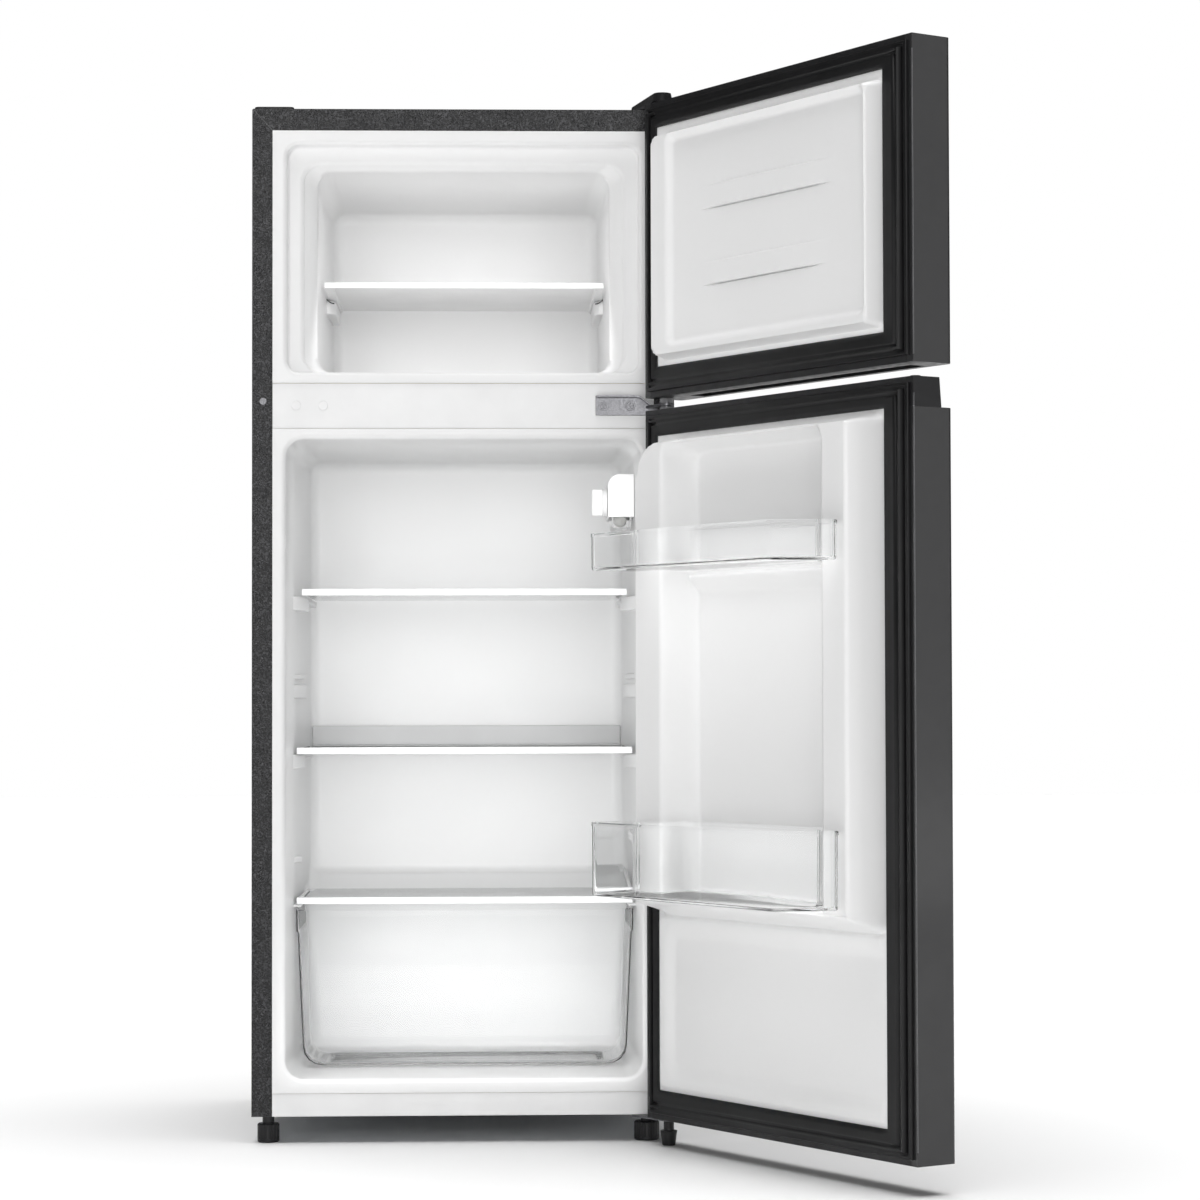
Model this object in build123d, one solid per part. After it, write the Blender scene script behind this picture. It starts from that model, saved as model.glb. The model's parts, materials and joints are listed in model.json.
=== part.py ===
from build123d import *
import math
import os

# Compact two-door refrigerator with a top freezer, both doors standing open.
# Millimetres, +Z up. The cabinet's front face is the plane Y = 0, its centre is X = 0,
# the floor is Z = 0, and the doors are in front of the cabinet, towards -Y.
# At the end everything is moved so that the origin is the bottom centre of the whole box.

# ---- driving dimensions: cabinet ----
WIDTH = 495.0
HALF = WIDTH / 2
CASE_BOTTOM = 31.3
CASE_TOP = 1210.6
CASE_DEPTH = 445.0
STEEL = 1.2
FLANGE_SIDE = 23.8
FLANGE_TOP = 25.6
LINER = 1.5
SEAM = 0.2
RAIL_LOW = 834.2
RAIL_HIGH = 887.3
TOE_TOP = 58.0

# freezer compartment: a shallow recess at the front, a funnel, then the box itself
FREEZER_RECESS = dict(half=208.3, low=898.9, high=1169.8, radius=15.0, depth=16.0)
FREEZER_MOUTH = dict(half=188.5, low=900.0, high=1147.8, radius=18.0, depth=33.0)
FREEZER_BOX = dict(half=174.3, low=901.0, high=1141.6, radius=18.0, depth=367.0)
FREEZER_BACK_HALF = 171.0

# fresh food compartment: one box with a raised step over the compressor recess
FRIDGE_HALF = 209.6
FRIDGE_BACK_HALF = 202.0
FRIDGE_LOW = 73.5
FRIDGE_HIGH = 822.9
FRIDGE_RADIUS = 18.0
FRIDGE_DEPTH = 395.0
STEP_FRONT = 290.0
STEP_TOP = 270.5
STEP_SLOPE_START = 350.0
STEP_BACK_TOP = 301.0
RECESS_FRONT = 325.0
RECESS_TOP = 240.0

# ---- driving dimensions: doors and hinges ----
PIN_X = HALF - 10.5
PIN_Y = -31.8
OPEN_ANGLE = 121.6
DOOR_GAP = 9.1
DOOR_THICK = 52.0
DOOR_BACK = -DOOR_GAP
DOOR_FRONT = -DOOR_GAP - DOOR_THICK
DOOR_SKIN = 1.0
DOOR_CORNER = 5.0
HEM = 11.0
FREEZER_DOOR = (866.3, 1210.1)
FRIDGE_DOOR = (32.2, 851.5)
FRIDGE_PANEL_TOP = 819.9
CAP_HEIGHT = 14.0
GRIP_DEPTH_LOW = 37.4
GRIP_DEPTH_TOP = 34.8
PIN_R = 4.0
RUNNING = 0.05
BUSH_R = 7.0

# gasket: distances in from the door's edges, to its outer and its inner edge
GASKET_HINGE = (8.0, 28.5)
GASKET_FREE = (6.0, 46.5)
GASKET_BOTTOM = (7.0, 34.5)
GASKET_TOP = (7.0, 31.0)
GASKET_BELLOWS = 14.0
GASKET_FLANGE = 2.0
GASKET_FACE = -0.5

# door panels: the sheet is flat at this height, and stands out where it is formed
SHEET = 2.0
FREEZER_RAISED = 22.0
COLUMN_RAISED = 48.0

# ---- driving dimensions: inside fittings ----
SHELF_FRONT = 113.0
GLASS = 4.0
UPPER_SHELF = dict(z=642.0, half=196.0, back=385.0)
LOWER_SHELF = dict(z=451.0, half=202.0, back=385.0)
CRISPER_COVER = dict(z=271.0, half=202.0, back=346.0)
TRIM_HEIGHT = 8.0
TRIM_DEPTH = 12.0
DRAWER_BOTTOM = 76.0
DRAWER_TOP = 265.0
FREEZER_SHELF_Z = 1011.7
CONTROL_Y = (120.0, 210.0)
CONTROL_Z = (737.0, 788.8)
CONTROL_X = (174.0, 205.2)
KNOB_CENTRE = (155.0, 756.2)
KNOB_R = 17.6
UPPER_BIN_Z = (661.0, 703.0)
LOWER_BIN_Z = (295.0, 378.0)
BIN_WALL = 2.0

# ---- driving dimensions: feet ----
LEFT_FOOT = (-229.0, 20.0, 12.8)
RIGHT_FOOT = (213.7, 20.0, 14.8)
FOOT_HEIGHT = 22.0
HINGE_SCREW_X = (164.3, 195.8)
HINGE_SCREW_Z = 861.0
FLANGE_SCREW = (-234.5, 866.0)
REAR_FOOT_X = 190.0
REAR_FOOT_Y = 405.0

# ---- driving dimensions: cooling system ----
COMPRESSOR = (25.0, 385.0)
MOUNT_X = (-30.0, 80.0)
MOUNT_Y = (355.0, 415.0)
MOUNT_HOLE_R = 5.0
DRIER = (-105.0, 415.0, 9.5)
CORD_EXIT = (-150.0, 200.0)

nodes = {}


# ---- shape helpers ----
def block(x0, x1, y0, y1, z0, z1):
    """A box given by its limits."""
    return Pos((x0 + x1) / 2, (y0 + y1) / 2, (z0 + z1) / 2) * Box(x1 - x0, y1 - y0, z1 - z0)


def plan(points, z0, z1):
    """An outline in X and Y, extruded from z0 to z1."""
    return extrude(Pos(0, 0, z0) * make_face(Polyline(*points, close=True)), z1 - z0)


def profile(points, x0, x1):
    """An outline in Y and Z, extruded from x0 to x1."""
    base = Plane(origin=(x0, 0, 0), x_dir=(0, 1, 0), z_dir=(1, 0, 0))
    return extrude(base * make_face(Polyline(*points, close=True)), x1 - x0)


def post(x, y, radius, z0, z1):
    """A vertical cylinder."""
    return Pos(x, y, (z0 + z1) / 2) * Cylinder(radius, z1 - z0)


def rod_x(y, z, radius, x0, x1):
    """A cylinder along X."""
    return Pos((x0 + x1) / 2, y, z) * Rot(0, 90, 0) * Cylinder(radius, x1 - x0)


def rod_y(x, z, radius, y0, y1):
    """A cylinder along Y."""
    return Pos(x, (y0 + y1) / 2, z) * Rot(90, 0, 0) * Cylinder(radius, y1 - y0)


def rounded_section(y, half, low, high, radius):
    """A rounded rectangle across the cabinet, at depth y."""
    across = Plane(origin=(0, y, (low + high) / 2), x_dir=(1, 0, 0), z_dir=(0, -1, 0))
    return across * RectangleRounded(2 * half, high - low, radius)


def group(shapes):
    """Several separate solids that share one node."""
    return Compound([solid for shape in shapes for solid in shape.solids()])


def mirrored(shape):
    """The same shape on the other side of the cabinet's centre plane."""
    return mirror(shape, about=Plane.YZ)


def swing(shape):
    """Turn a shape made with its door closed to where it stands with the door open."""
    return shape.rotate(Axis((PIN_X, PIN_Y, 0), (0, 0, 1)), OPEN_ANGLE)


def door_point(u, w):
    """A point of a closed door: u from its hinge edge, w out from its inner plane."""
    return (HALF - u, DOOR_BACK + w)


# ---- cabinet shell ----
def outer_wrapper():
    """One folded steel sheet: two sides, the top, and a front flange around them."""
    shell = block(-HALF, HALF, 0, CASE_DEPTH, CASE_BOTTOM, CASE_TOP)
    upright = shell.edges().filter_by(Axis.Y).group_by(Axis.Z)[-1]
    shell = fillet(upright, 2.0)
    inner = HALF - STEEL
    shell -= block(-inner, inner, STEEL, CASE_DEPTH, CASE_BOTTOM, CASE_TOP - STEEL)
    window = HALF - FLANGE_SIDE
    shell -= block(-window, window, 0, STEEL, CASE_BOTTOM, CASE_TOP - FLANGE_TOP)
    return shell - rod_y(FLANGE_SCREW[0], FLANGE_SCREW[1], 2.2, 0, STEEL)


def rear_panel():
    """Flat steel back, from the top down to the compressor recess, with stiffening beads."""
    inner = HALF - STEEL - SEAM
    back = CASE_DEPTH - SEAM
    panel = block(-inner, inner, back - 1.0, back, RECESS_TOP, CASE_TOP - STEEL - SEAM)
    for z in (330, 520, 710, 900, 1090):
        panel += block(-170, 170, back, back + 2.5, z - 6, z + 6)
    return panel


def base_pan():
    """Steel floor sheet under the foam, with the front foot holes."""
    inner = HALF - STEEL - SEAM
    pan = block(-inner, inner, 2.0, RECESS_FRONT, CASE_BOTTOM, CASE_BOTTOM + 1.6)
    for x, y, _ in (LEFT_FOOT, RIGHT_FOOT):
        pan -= post(x, y, PIN_R + RUNNING, CASE_BOTTOM, CASE_BOTTOM + 1.6)
    return pan


def recess_panel():
    """L-shaped sheet that lines the compressor recess: its front wall and its roof."""
    half = 203.2
    wall = block(-half, half, RECESS_FRONT + 0.2, RECESS_FRONT + 1.2, 43.5, RECESS_TOP - 0.2)
    roof = block(-half, half, RECESS_FRONT + 0.2, CASE_DEPTH - 1.6, RECESS_TOP - 1.2, RECESS_TOP - 0.2)
    return wall + roof


def foam_insulation():
    """Foam between the steel and the liners, as slabs that meet around the two compartments."""
    out = HALF - STEEL - SEAM
    front = 2.0
    back = CASE_DEPTH - 1.6
    low = CASE_BOTTOM + 1.8
    top = CASE_TOP - STEEL - SEAM
    clear = LINER + 0.2
    cold_back = FRIDGE_DEPTH + clear + 1.6
    ceiling = FRIDGE_HIGH + clear
    floor = FRIDGE_LOW - clear
    frozen_back = FREEZER_BOX["depth"] + clear + 1.6
    slabs = []
    side = [
        (out, front),
        (FRIDGE_HALF + clear, front),
        (FRIDGE_BACK_HALF + clear, cold_back),
        (FRIDGE_BACK_HALF + clear, back),
        (out, back),
    ]
    cheek = plan(side, low + 2, ceiling)
    slabs += [cheek, mirrored(cheek)]
    inside = FRIDGE_BACK_HALF + clear - 0.2
    step_front = STEP_FRONT + clear
    step_top = STEP_TOP - clear
    slabs.append(block(-inside, inside, front, step_front - 0.2, low, floor))
    slabs.append(block(-inside, inside, step_front, RECESS_FRONT, low, step_top))
    split = STEP_SLOPE_START + 1
    slabs.append(block(-inside, inside, RECESS_FRONT + 0.2, split - 0.2, RECESS_TOP, step_top))
    ramp_high = STEP_BACK_TOP + 1
    ramp = [(split, RECESS_TOP), (back, RECESS_TOP), (back, ramp_high), (cold_back, ramp_high),
            (cold_back, ramp_high - 3), (split, step_top - 2.3)]
    slabs.append(profile(ramp, -inside, inside))
    slabs.append(block(-inside, inside, cold_back, back, ramp_high + 0.2, ceiling))
    recess_half = FREEZER_RECESS["half"] + clear
    shelf_low = FREEZER_RECESS["low"] - clear
    middle = block(-recess_half + 0.2, recess_half - 0.2, front, frozen_back - 0.2, ceiling + 0.2, shelf_low)
    for x in HINGE_SCREW_X:
        middle -= rod_y(x, HINGE_SCREW_Z, 2.2, front, 10.0)
    slabs.append(middle)
    outer = block(recess_half, out, front, frozen_back - 0.2, ceiling + 0.2, top)
    pocket = rod_y(FLANGE_SCREW[0], FLANGE_SCREW[1], 2.2, front, 10.0)
    slabs += [outer, mirrored(outer) - pocket]
    ledge = FREEZER_RECESS["depth"] + clear
    mouth = FREEZER_MOUTH["half"] + clear
    cheek_low = FREEZER_BOX["half"] + clear
    cheek_back = FREEZER_BACK_HALF + clear
    inner_side = [
        (recess_half - 0.2, ledge),
        (mouth, ledge),
        (cheek_low, FREEZER_MOUTH["depth"] + clear),
        (cheek_back, frozen_back - 0.2),
        (recess_half - 0.2, frozen_back - 0.2),
    ]
    inner = plan(inner_side, shelf_low + 0.2, top)
    slabs += [inner, mirrored(inner)]
    lid_low = FREEZER_RECESS["high"] + clear
    slabs.append(block(-cheek_back + 0.2, cheek_back - 0.2, front, frozen_back - 0.2, lid_low, top))
    box_high = FREEZER_BOX["high"] + clear
    lid = [(ledge, lid_low - 0.2), (ledge, FREEZER_MOUTH["high"] + clear),
           (FREEZER_MOUTH["depth"] + clear, box_high), (frozen_back - 0.2, box_high),
           (frozen_back - 0.2, lid_low - 0.2)]
    slabs.append(profile(lid, -cheek_back + 0.2, cheek_back - 0.2))
    slabs.append(block(-out, out, frozen_back, back, ceiling + 0.2, top))
    return group(slabs)


def stage(depth, shape, grow):
    """One rounded section of a compartment, grown outwards by the liner's thickness."""
    return rounded_section(depth, shape["half"] + grow, shape["low"] - grow, shape["high"] + grow,
                           shape["radius"] + grow)


def freezer_void(grow):
    """The freezer's space: recess, funnel and box, each grown by the same amount."""
    recess = extrude(stage(-1.0, FREEZER_RECESS, grow), -(FREEZER_RECESS["depth"] + grow + 1.0))
    start = FREEZER_RECESS["depth"] - 1.0
    end = FREEZER_BOX["depth"] + grow
    back = dict(FREEZER_BOX, half=FREEZER_BACK_HALF)
    funnel = loft([stage(start, FREEZER_MOUTH, grow), stage(FREEZER_MOUTH["depth"], FREEZER_BOX, grow)])
    box = loft([stage(FREEZER_MOUTH["depth"], FREEZER_BOX, grow), stage(end, back, grow)])
    return recess + funnel + box


def front_plate(low, high):
    """The liner's white face between the steel flanges."""
    window = HALF - FLANGE_SIDE - SEAM
    return block(-window, window, 0, LINER, low, high)


def freezer_liner():
    """Vacuum-formed freezer liner with a shelf ledge along each side wall."""
    plate = front_plate(RAIL_HIGH + SEAM, CASE_TOP - FLANGE_TOP - SEAM)
    skin = freezer_void(LINER) & block(-HALF, HALF, 0, CASE_DEPTH, 860, CASE_TOP)
    liner = (plate + skin) - freezer_void(0)
    ledge = plan([(173.5, 105), (162.0, 112), (162.0, 340), (171.5, 350)], 1001.0, FREEZER_SHELF_Z - 0.5)
    return liner + ledge + mirrored(ledge)


def fridge_void(grow):
    """The fresh food space: a tapered box less the step over the compressor recess."""
    front = rounded_section(-1.0, FRIDGE_HALF + grow, FRIDGE_LOW - grow, FRIDGE_HIGH + grow,
                            FRIDGE_RADIUS + grow)
    back = rounded_section(FRIDGE_DEPTH + grow, FRIDGE_BACK_HALF + grow, FRIDGE_LOW - grow,
                           FRIDGE_HIGH + grow, FRIDGE_RADIUS + grow)
    box = loft([front, back])
    far = FRIDGE_DEPTH + 20
    step = [
        (STEP_FRONT + grow, FRIDGE_LOW - 20),
        (STEP_FRONT + grow, STEP_TOP - grow),
        (STEP_SLOPE_START + grow, STEP_TOP - grow),
        (FRIDGE_DEPTH + grow, STEP_BACK_TOP - grow),
        (far, STEP_BACK_TOP - grow),
        (far, FRIDGE_LOW - 20),
    ]
    return box - profile(step, -HALF, HALF)


def wall_x(y):
    """Half width of the fresh food compartment at depth y."""
    return FRIDGE_HALF + (FRIDGE_BACK_HALF - FRIDGE_HALF) * y / FRIDGE_DEPTH


def side_ledge(low, high, reach, start, stop):
    """A moulded ledge on the side wall that a shelf slides on."""
    return plan([(wall_x(start) + 0.8, start), (reach, start + 6), (reach, stop - 6),
                 (wall_x(stop) + 0.8, stop)], low, high)


def fridge_liner():
    """Vacuum-formed fresh food liner with ledges for the shelves and spare heights."""
    plate = front_plate(TOE_TOP + SEAM, RAIL_LOW - SEAM)
    skin = fridge_void(LINER) & block(-HALF, HALF, 0, CASE_DEPTH, TOE_TOP, 860)
    liner = (plate + skin) - fridge_void(0)
    ledges = [
        (UPPER_SHELF["z"] - 8, UPPER_SHELF["z"] - 0.5, 189.0, 360.0),
        (LOWER_SHELF["z"] - 8, LOWER_SHELF["z"] - 0.5, 194.0, 360.0),
        (CRISPER_COVER["z"] - 4.2, CRISPER_COVER["z"] - 0.5, 197.0, 285.0),
        (548.0, 555.5, 194.0, 360.0),
        (360.0, 367.5, 196.0, 360.0),
    ]
    for low, high, reach, stop in ledges:
        ledge = side_ledge(low, high, reach, 118.0, stop)
        liner += ledge + mirrored(ledge)
    return liner


def divider_rail():
    """White cover over the front of the wall between the two compartments."""
    window = HALF - FLANGE_SIDE - SEAM
    rail = block(-window, window, 0, 1.5, RAIL_LOW + SEAM, RAIL_HIGH - SEAM)
    for x in HINGE_SCREW_X:
        rail -= rod_y(x, HINGE_SCREW_Z, 2.6, 0, 1.5)
        rail -= rod_y(-x, HINGE_SCREW_Z, 3.0, 0, 1.5)
    return rail


def divider_plugs():
    """Round plugs in the hinge holes on the side that has no hinge."""
    plugs = []
    for x in HINGE_SCREW_X:
        plugs.append(rod_y(-x, HINGE_SCREW_Z, 5.5, -1.0, 0) + rod_y(-x, HINGE_SCREW_Z, 2.9, 0, 1.4))
    return group(plugs)


def toe_rail():
    """White strip under the fresh food opening."""
    window = HALF - FLANGE_SIDE - SEAM
    return block(-window, window, 0, 1.5, CASE_BOTTOM + 0.2, TOE_TOP - SEAM)


# ---- hinges ----
def arm(points, z0, z1):
    """A flat hinge arm that ends round over the door's pin."""
    return plan(points, z0, z1) + post(PIN_X, PIN_Y, 10.0, z0, z1)


def top_hinge():
    """Steel plate on the cabinet's top whose pin goes down into the freezer door."""
    low, high = CASE_TOP + 0.4, CASE_TOP + 2.9
    plate = arm([(205, 6), (205, 60), (246, 60), (PIN_X + 10, PIN_Y), (PIN_X - 10, PIN_Y)], low, high)
    seat = block(207, 243, 8, 58, CASE_TOP, low)
    pin = post(PIN_X, PIN_Y, PIN_R, FREEZER_DOOR[1] - 12, low)
    return plate + seat + pin


def top_hinge_cover():
    """Black cap over the top hinge, round over the pin and sloped at its free side."""
    outline = Pos(0, 0, CASE_TOP + 3.1) * make_hull(
        [Pos(PIN_X - 4, PIN_Y + 1, 0) * CenterArc((0, 0), 12.5, 0, 360),
         Pos(206, 58, 0) * CenterArc((0, 0), 7, 0, 360),
         Pos(238, 60, 0) * CenterArc((0, 0), 6, 0, 360)]
    )
    return extrude(outline, 10.3, taper=12)


def spare_hinge_cover():
    """Thin black plate over the hinge holes on the other side of the top."""
    plate = block(-245, -199, 4, 62, CASE_TOP + 0.05, CASE_TOP + 3.2)
    return fillet(plate.edges().filter_by(Axis.Z), 6.0)


def middle_hinge():
    """Zinc bracket on the divider: a screwed plate, a bent lip and an arm with pins both ways."""
    plate = block(155.2, 228.0, -2.5, -0.05, 849.4, 872.8)
    plate = fillet(plate.edges().filter_by(Axis.Y), 1.5)
    lip = block(157.0, 214.0, -8.0, -2.4, 870.2, 872.6)
    shelf = plan([(214, -2.4), (231, -2.4), (PIN_X + 9, PIN_Y), (PIN_X - 9, PIN_Y)], 857.6, 860.6)
    shelf += post(PIN_X, PIN_Y, 9.0, 857.6, 860.6)
    bracket = plate + lip + shelf
    bracket += post(PIN_X, PIN_Y, PIN_R, 840.0, 878.0)
    for x in HINGE_SCREW_X:
        bracket -= rod_y(x, HINGE_SCREW_Z, 2.6, -2.5, 0)
    return bracket


def bottom_hinge():
    """Bracket under the cabinet with the lower pin, and a clearance hole for the front foot."""
    low, high = CASE_BOTTOM - 3.2, CASE_BOTTOM - 0.2
    plate = arm([(196, 4), (196, 60), (246, 60), (PIN_X + 10, PIN_Y), (PIN_X - 10, PIN_Y)], low, high)
    pin = post(PIN_X, PIN_Y, PIN_R, high - 0.1, FRIDGE_DOOR[0] + 12)
    plate -= post(RIGHT_FOOT[0], RIGHT_FOOT[1], PIN_R + RUNNING, low, high)
    plate -= post(PIN_X, PIN_Y, PIN_R + RUNNING, low, high - 1.0)
    return plate + pin


def screw(x, y, z, head_r):
    """A flanged pan-head screw with a cross recess, its axis along Y."""
    head = rod_y(x, z, head_r, y - 1.0, y)
    crown = rod_y(x, z, head_r * 0.68, y - 2.8, y - 0.9)
    shank = rod_y(x, z, 2.1, y, y + 9.0)
    cross = block(x - 2.6, x + 2.6, y - 3.0, y - 1.6, z - 0.6, z + 0.6)
    cross += block(x - 0.6, x + 0.6, y - 3.0, y - 1.6, z - 2.6, z + 2.6)
    return head + crown + shank - cross


def hinge_screws():
    """The two screws of the middle hinge."""
    return group([screw(x, -2.55, HINGE_SCREW_Z, 6.0) for x in HINGE_SCREW_X])


def flange_screw():
    """The single screw in the left front flange."""
    return screw(FLANGE_SCREW[0], -0.05, FLANGE_SCREW[1], 4.0)


# ---- feet ----
def ribbed_foot(x, y, radius, top, stud_top):
    """A screw-in foot: a fluted knob with a chamfered sole, a neck and a threaded stud."""
    knob = Pos(x, y, FOOT_HEIGHT / 2) * Cylinder(radius, FOOT_HEIGHT)
    knob = chamfer(knob.edges().filter_by(GeomType.CIRCLE), 1.4)
    flutes = 18
    for i in range(flutes):
        turn = 2 * math.pi * i / flutes
        knob -= post(x + (radius + 0.5) * math.cos(turn), y + (radius + 0.5) * math.sin(turn), 1.3,
                     4.0, FOOT_HEIGHT + 1)
    return knob + post(x, y, 7.0, FOOT_HEIGHT - 0.5, top) + post(x, y, PIN_R, top - 0.5, stud_top)


def front_foot_left():
    """The left foot is screwed straight into the base pan."""
    return ribbed_foot(*LEFT_FOOT, CASE_BOTTOM - 0.5, CASE_BOTTOM + 1.4)


def front_foot_right():
    """The right foot is screwed through the bottom hinge bracket."""
    return ribbed_foot(*RIGHT_FOOT, CASE_BOTTOM - 3.7, CASE_BOTTOM + 1.4)


def hinge_foot():
    """A smaller foot on the bottom hinge pin's axis, wider at the top than at the sole."""
    low = loft([Pos(PIN_X, PIN_Y, 0) * Circle(7.6), Pos(PIN_X, PIN_Y, 17) * Circle(9.85)])
    return low + post(PIN_X, PIN_Y, 6.0, 16.9, 27.4) + post(PIN_X, PIN_Y, PIN_R, 27.0, 29.8)


def rear_feet():
    """Two fixed feet under the compressor plate."""
    feet = []
    for x in (-REAR_FOOT_X, REAR_FOOT_X):
        sole = post(x, REAR_FOOT_Y, 15.0, 0, 8.0)
        feet.append(sole + post(x, REAR_FOOT_Y, 10.0, 7.9, 41.0))
    return group(feet)


# ---- cooling system ----
def mount_places():
    """Where the compressor's four rubber mounts stand."""
    return [(x, y) for x in MOUNT_X for y in MOUNT_Y]


def compressor_plate():
    """Pressed steel plate across the recess that carries the compressor."""
    half = 203.0
    plate = block(-half, half, RECESS_FRONT + 1.5, 442.0, 41.1, 43.1)
    plate += block(-half, half, 440.0, 442.0, 31.5, 41.2)
    for x, y in mount_places():
        plate -= post(x, y, MOUNT_HOLE_R, 41, 44)
    return plate


def compressor():
    """Sealed compressor: a rounded steel shell on a mounting foot plate."""
    margin = 11.5
    foot = block(MOUNT_X[0] - margin, MOUNT_X[1] + margin, MOUNT_Y[0] - margin, MOUNT_Y[1] + margin,
                 52.0, 54.5)
    for x, y in mount_places():
        foot -= post(x, y, MOUNT_HOLE_R, 51, 55)
    can = Pos(*COMPRESSOR, 54.3) * extrude(SlotOverall(118, 92), 112)
    can = fillet(can.edges().group_by(Axis.Z)[-1], 32)
    seam = Pos(*COMPRESSOR, 104) * extrude(SlotOverall(124, 98), 6)
    return foot + can + seam


def compressor_grommets():
    """Four rubber mounts, each a waisted bush with a bolt through the middle."""
    bolt_r = MOUNT_HOLE_R - 0.1
    return group([post(x, y, 9.0, 43.2, 51.9) + post(x, y, bolt_r, 40.0, 58.0) for x, y in mount_places()])


def relay_cover():
    """Cover of the start relay on the side of the compressor."""
    cover = block(-76, -37.3, 362, 408, 84, 130)
    return fillet(cover.edges().filter_by(Axis.Z), 5.0)


def tube(points, radius, bends):
    """A copper tube along straight runs with round bends."""
    path = FilletPolyline(*points, radius=bends)
    start = Vector(points[1]) - Vector(points[0])
    return sweep(Plane(origin=points[0], z_dir=start) * Circle(radius), path)


def refrigerant_tubes():
    """Suction, discharge and condenser tubes in the recess."""
    suction = tube([(90.5, 385, 92), (125, 385, 92), (125, 360, 92), (125, 360, 237)], 3.5, 11)
    discharge = tube([(90.5, 398, 78), (152, 398, 78), (152, 418, 78), (152, 418, 237)], 2.4, 9)
    serpentine = [(-120, 345, 220), (-120, 345, 140), (-140, 345, 140), (-140, 345, 220),
                  (-160, 345, 220), (-160, 345, 140), (-180, 345, 140), (-180, 345, 232)]
    return group([suction, discharge, tube(serpentine, 2.4, 8)])


def filter_drier():
    """Copper filter drier standing in the recess, necked at both ends."""
    x, y, radius = DRIER
    body = post(x, y, radius, 120, 190)
    for shoulder, end in ((190, 204), (120, 106)):
        body += loft([Pos(x, y, shoulder) * Circle(radius), Pos(x, y, end) * Circle(3.0)])
    return body


def water_tray():
    """Open tray on top of the compressor that collects and evaporates the defrost water."""
    tray = block(-30, 80, 345, 425, 168, 196)
    tray -= block(-28, 78, 347, 423, 170, 197)
    return tray


def cord_gland():
    """Round cable gland at the edge of the recess, with its hole."""
    x, z = CORD_EXIT
    gland = rod_y(x, z, 9.0, 436.0, 446.0) + rod_y(x, z, 12.0, 446.0, 449.0)
    holder = block(x - 16, x + 16, 434.0, 436.0, z - 16, RECESS_TOP - 2.5)
    return holder + gland - rod_y(x, z, 3.6, 433.0, 450.0)


def freezer_evaporator():
    """Aluminium plate evaporator against the back of the freezer liner."""
    back = FREEZER_BOX["depth"] + LINER + 0.1
    return block(-150, 150, back, back + 1.4, 915, 1125)


def fridge_evaporator():
    """Aluminium plate evaporator against the back of the fresh food liner."""
    back = FRIDGE_DEPTH + LINER + 0.1
    return block(-150, 150, back, back + 1.4, 560, 800)


# ---- thermostat and lamp ----
def control_box():
    """Housing of the thermostat and the lamp, on the right wall."""
    y0, y1 = CONTROL_Y
    z0, z1 = CONTROL_Z
    x0, x1 = CONTROL_X
    outer = block(x0, x1, y0, y1, z0, z1)
    outer = fillet(outer.edges().filter_by(Axis.Y).group_by(Axis.X)[0].group_by(Axis.Z)[-1], 14.0)
    outer -= block(x0 + 2, x1 - 2, y0 + 2, y1 - 2, z0, z1 - 16)
    return outer - rod_x(KNOB_CENTRE[0], KNOB_CENTRE[1], 3.05, x0 - 1, x0 + 3)


def lamp_lens():
    """Clear cover of the lamp under the housing."""
    y0, y1 = CONTROL_Y
    x0, x1 = CONTROL_X
    low = CONTROL_Z[0] - 15
    lens = block(x0 + 4, x1 - 3, y0 + 4, y1 - 4, low, CONTROL_Z[0] - 0.1)
    lens = fillet(lens.edges().filter_by(Axis.Y).group_by(Axis.Z)[0], 5.0)
    return lens - block(x0 + 6, x1 - 5, y0 + 6, y1 - 6, low + 2, CONTROL_Z[0])


def lamp_bulb():
    """Small bulb lying in the lens, with its cap."""
    glass = Pos(190, 176, 735) * Sphere(8.0)
    return glass + rod_y(190, 735, 5.0, 181, 200)


def thermostat_knob():
    """Round knob with a grip bar and a spindle along X."""
    y, z = KNOB_CENTRE
    face = CONTROL_X[0] - 0.5
    disc = rod_x(y, z, KNOB_R, face - 6, face)
    disc = chamfer(disc.edges().group_by(Axis.X)[0], 1.5)
    bar = block(face - 18.5, face - 5.9, y - 4, y + 4, z - 15.5, z + 15.5)
    bar = fillet(bar.edges().group_by(Axis.X)[0].filter_by(Axis.Z), 2.5)
    spindle = rod_x(y, z, 3.0, face - 0.1, CONTROL_X[0] + 6)
    return disc + bar + spindle


# ---- shelves and drawer ----
def freezer_shelf():
    """White shelf with a turned-down front lip."""
    z = FREEZER_SHELF_Z
    plate = block(-168, 168, 100, 358, z + 3.2, z + 6.8)
    lip = block(-168, 168, 98, 101.5, z, z + 6.8)
    runners = block(-168, -158, 101, 358, z, z + 3.3) + block(158, 168, 101, 358, z, z + 3.3)
    return plate + lip + runners


def shelf_glass(shelf):
    """The glass pane of a shelf."""
    z = shelf["z"] + 1.8
    return block(-shelf["half"] + 2, shelf["half"] - 2, SHELF_FRONT + 3, shelf["back"], z, z + GLASS)


def front_trim(shelf):
    """The moulded front strip that the pane is pushed into."""
    z = shelf["z"]
    strip = block(-shelf["half"], shelf["half"], SHELF_FRONT, SHELF_FRONT + TRIM_DEPTH, z, z + TRIM_HEIGHT)
    return strip - shelf_glass(shelf)


def upper_shelf_trim():
    """Front strip of the upper shelf."""
    return front_trim(UPPER_SHELF)


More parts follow.
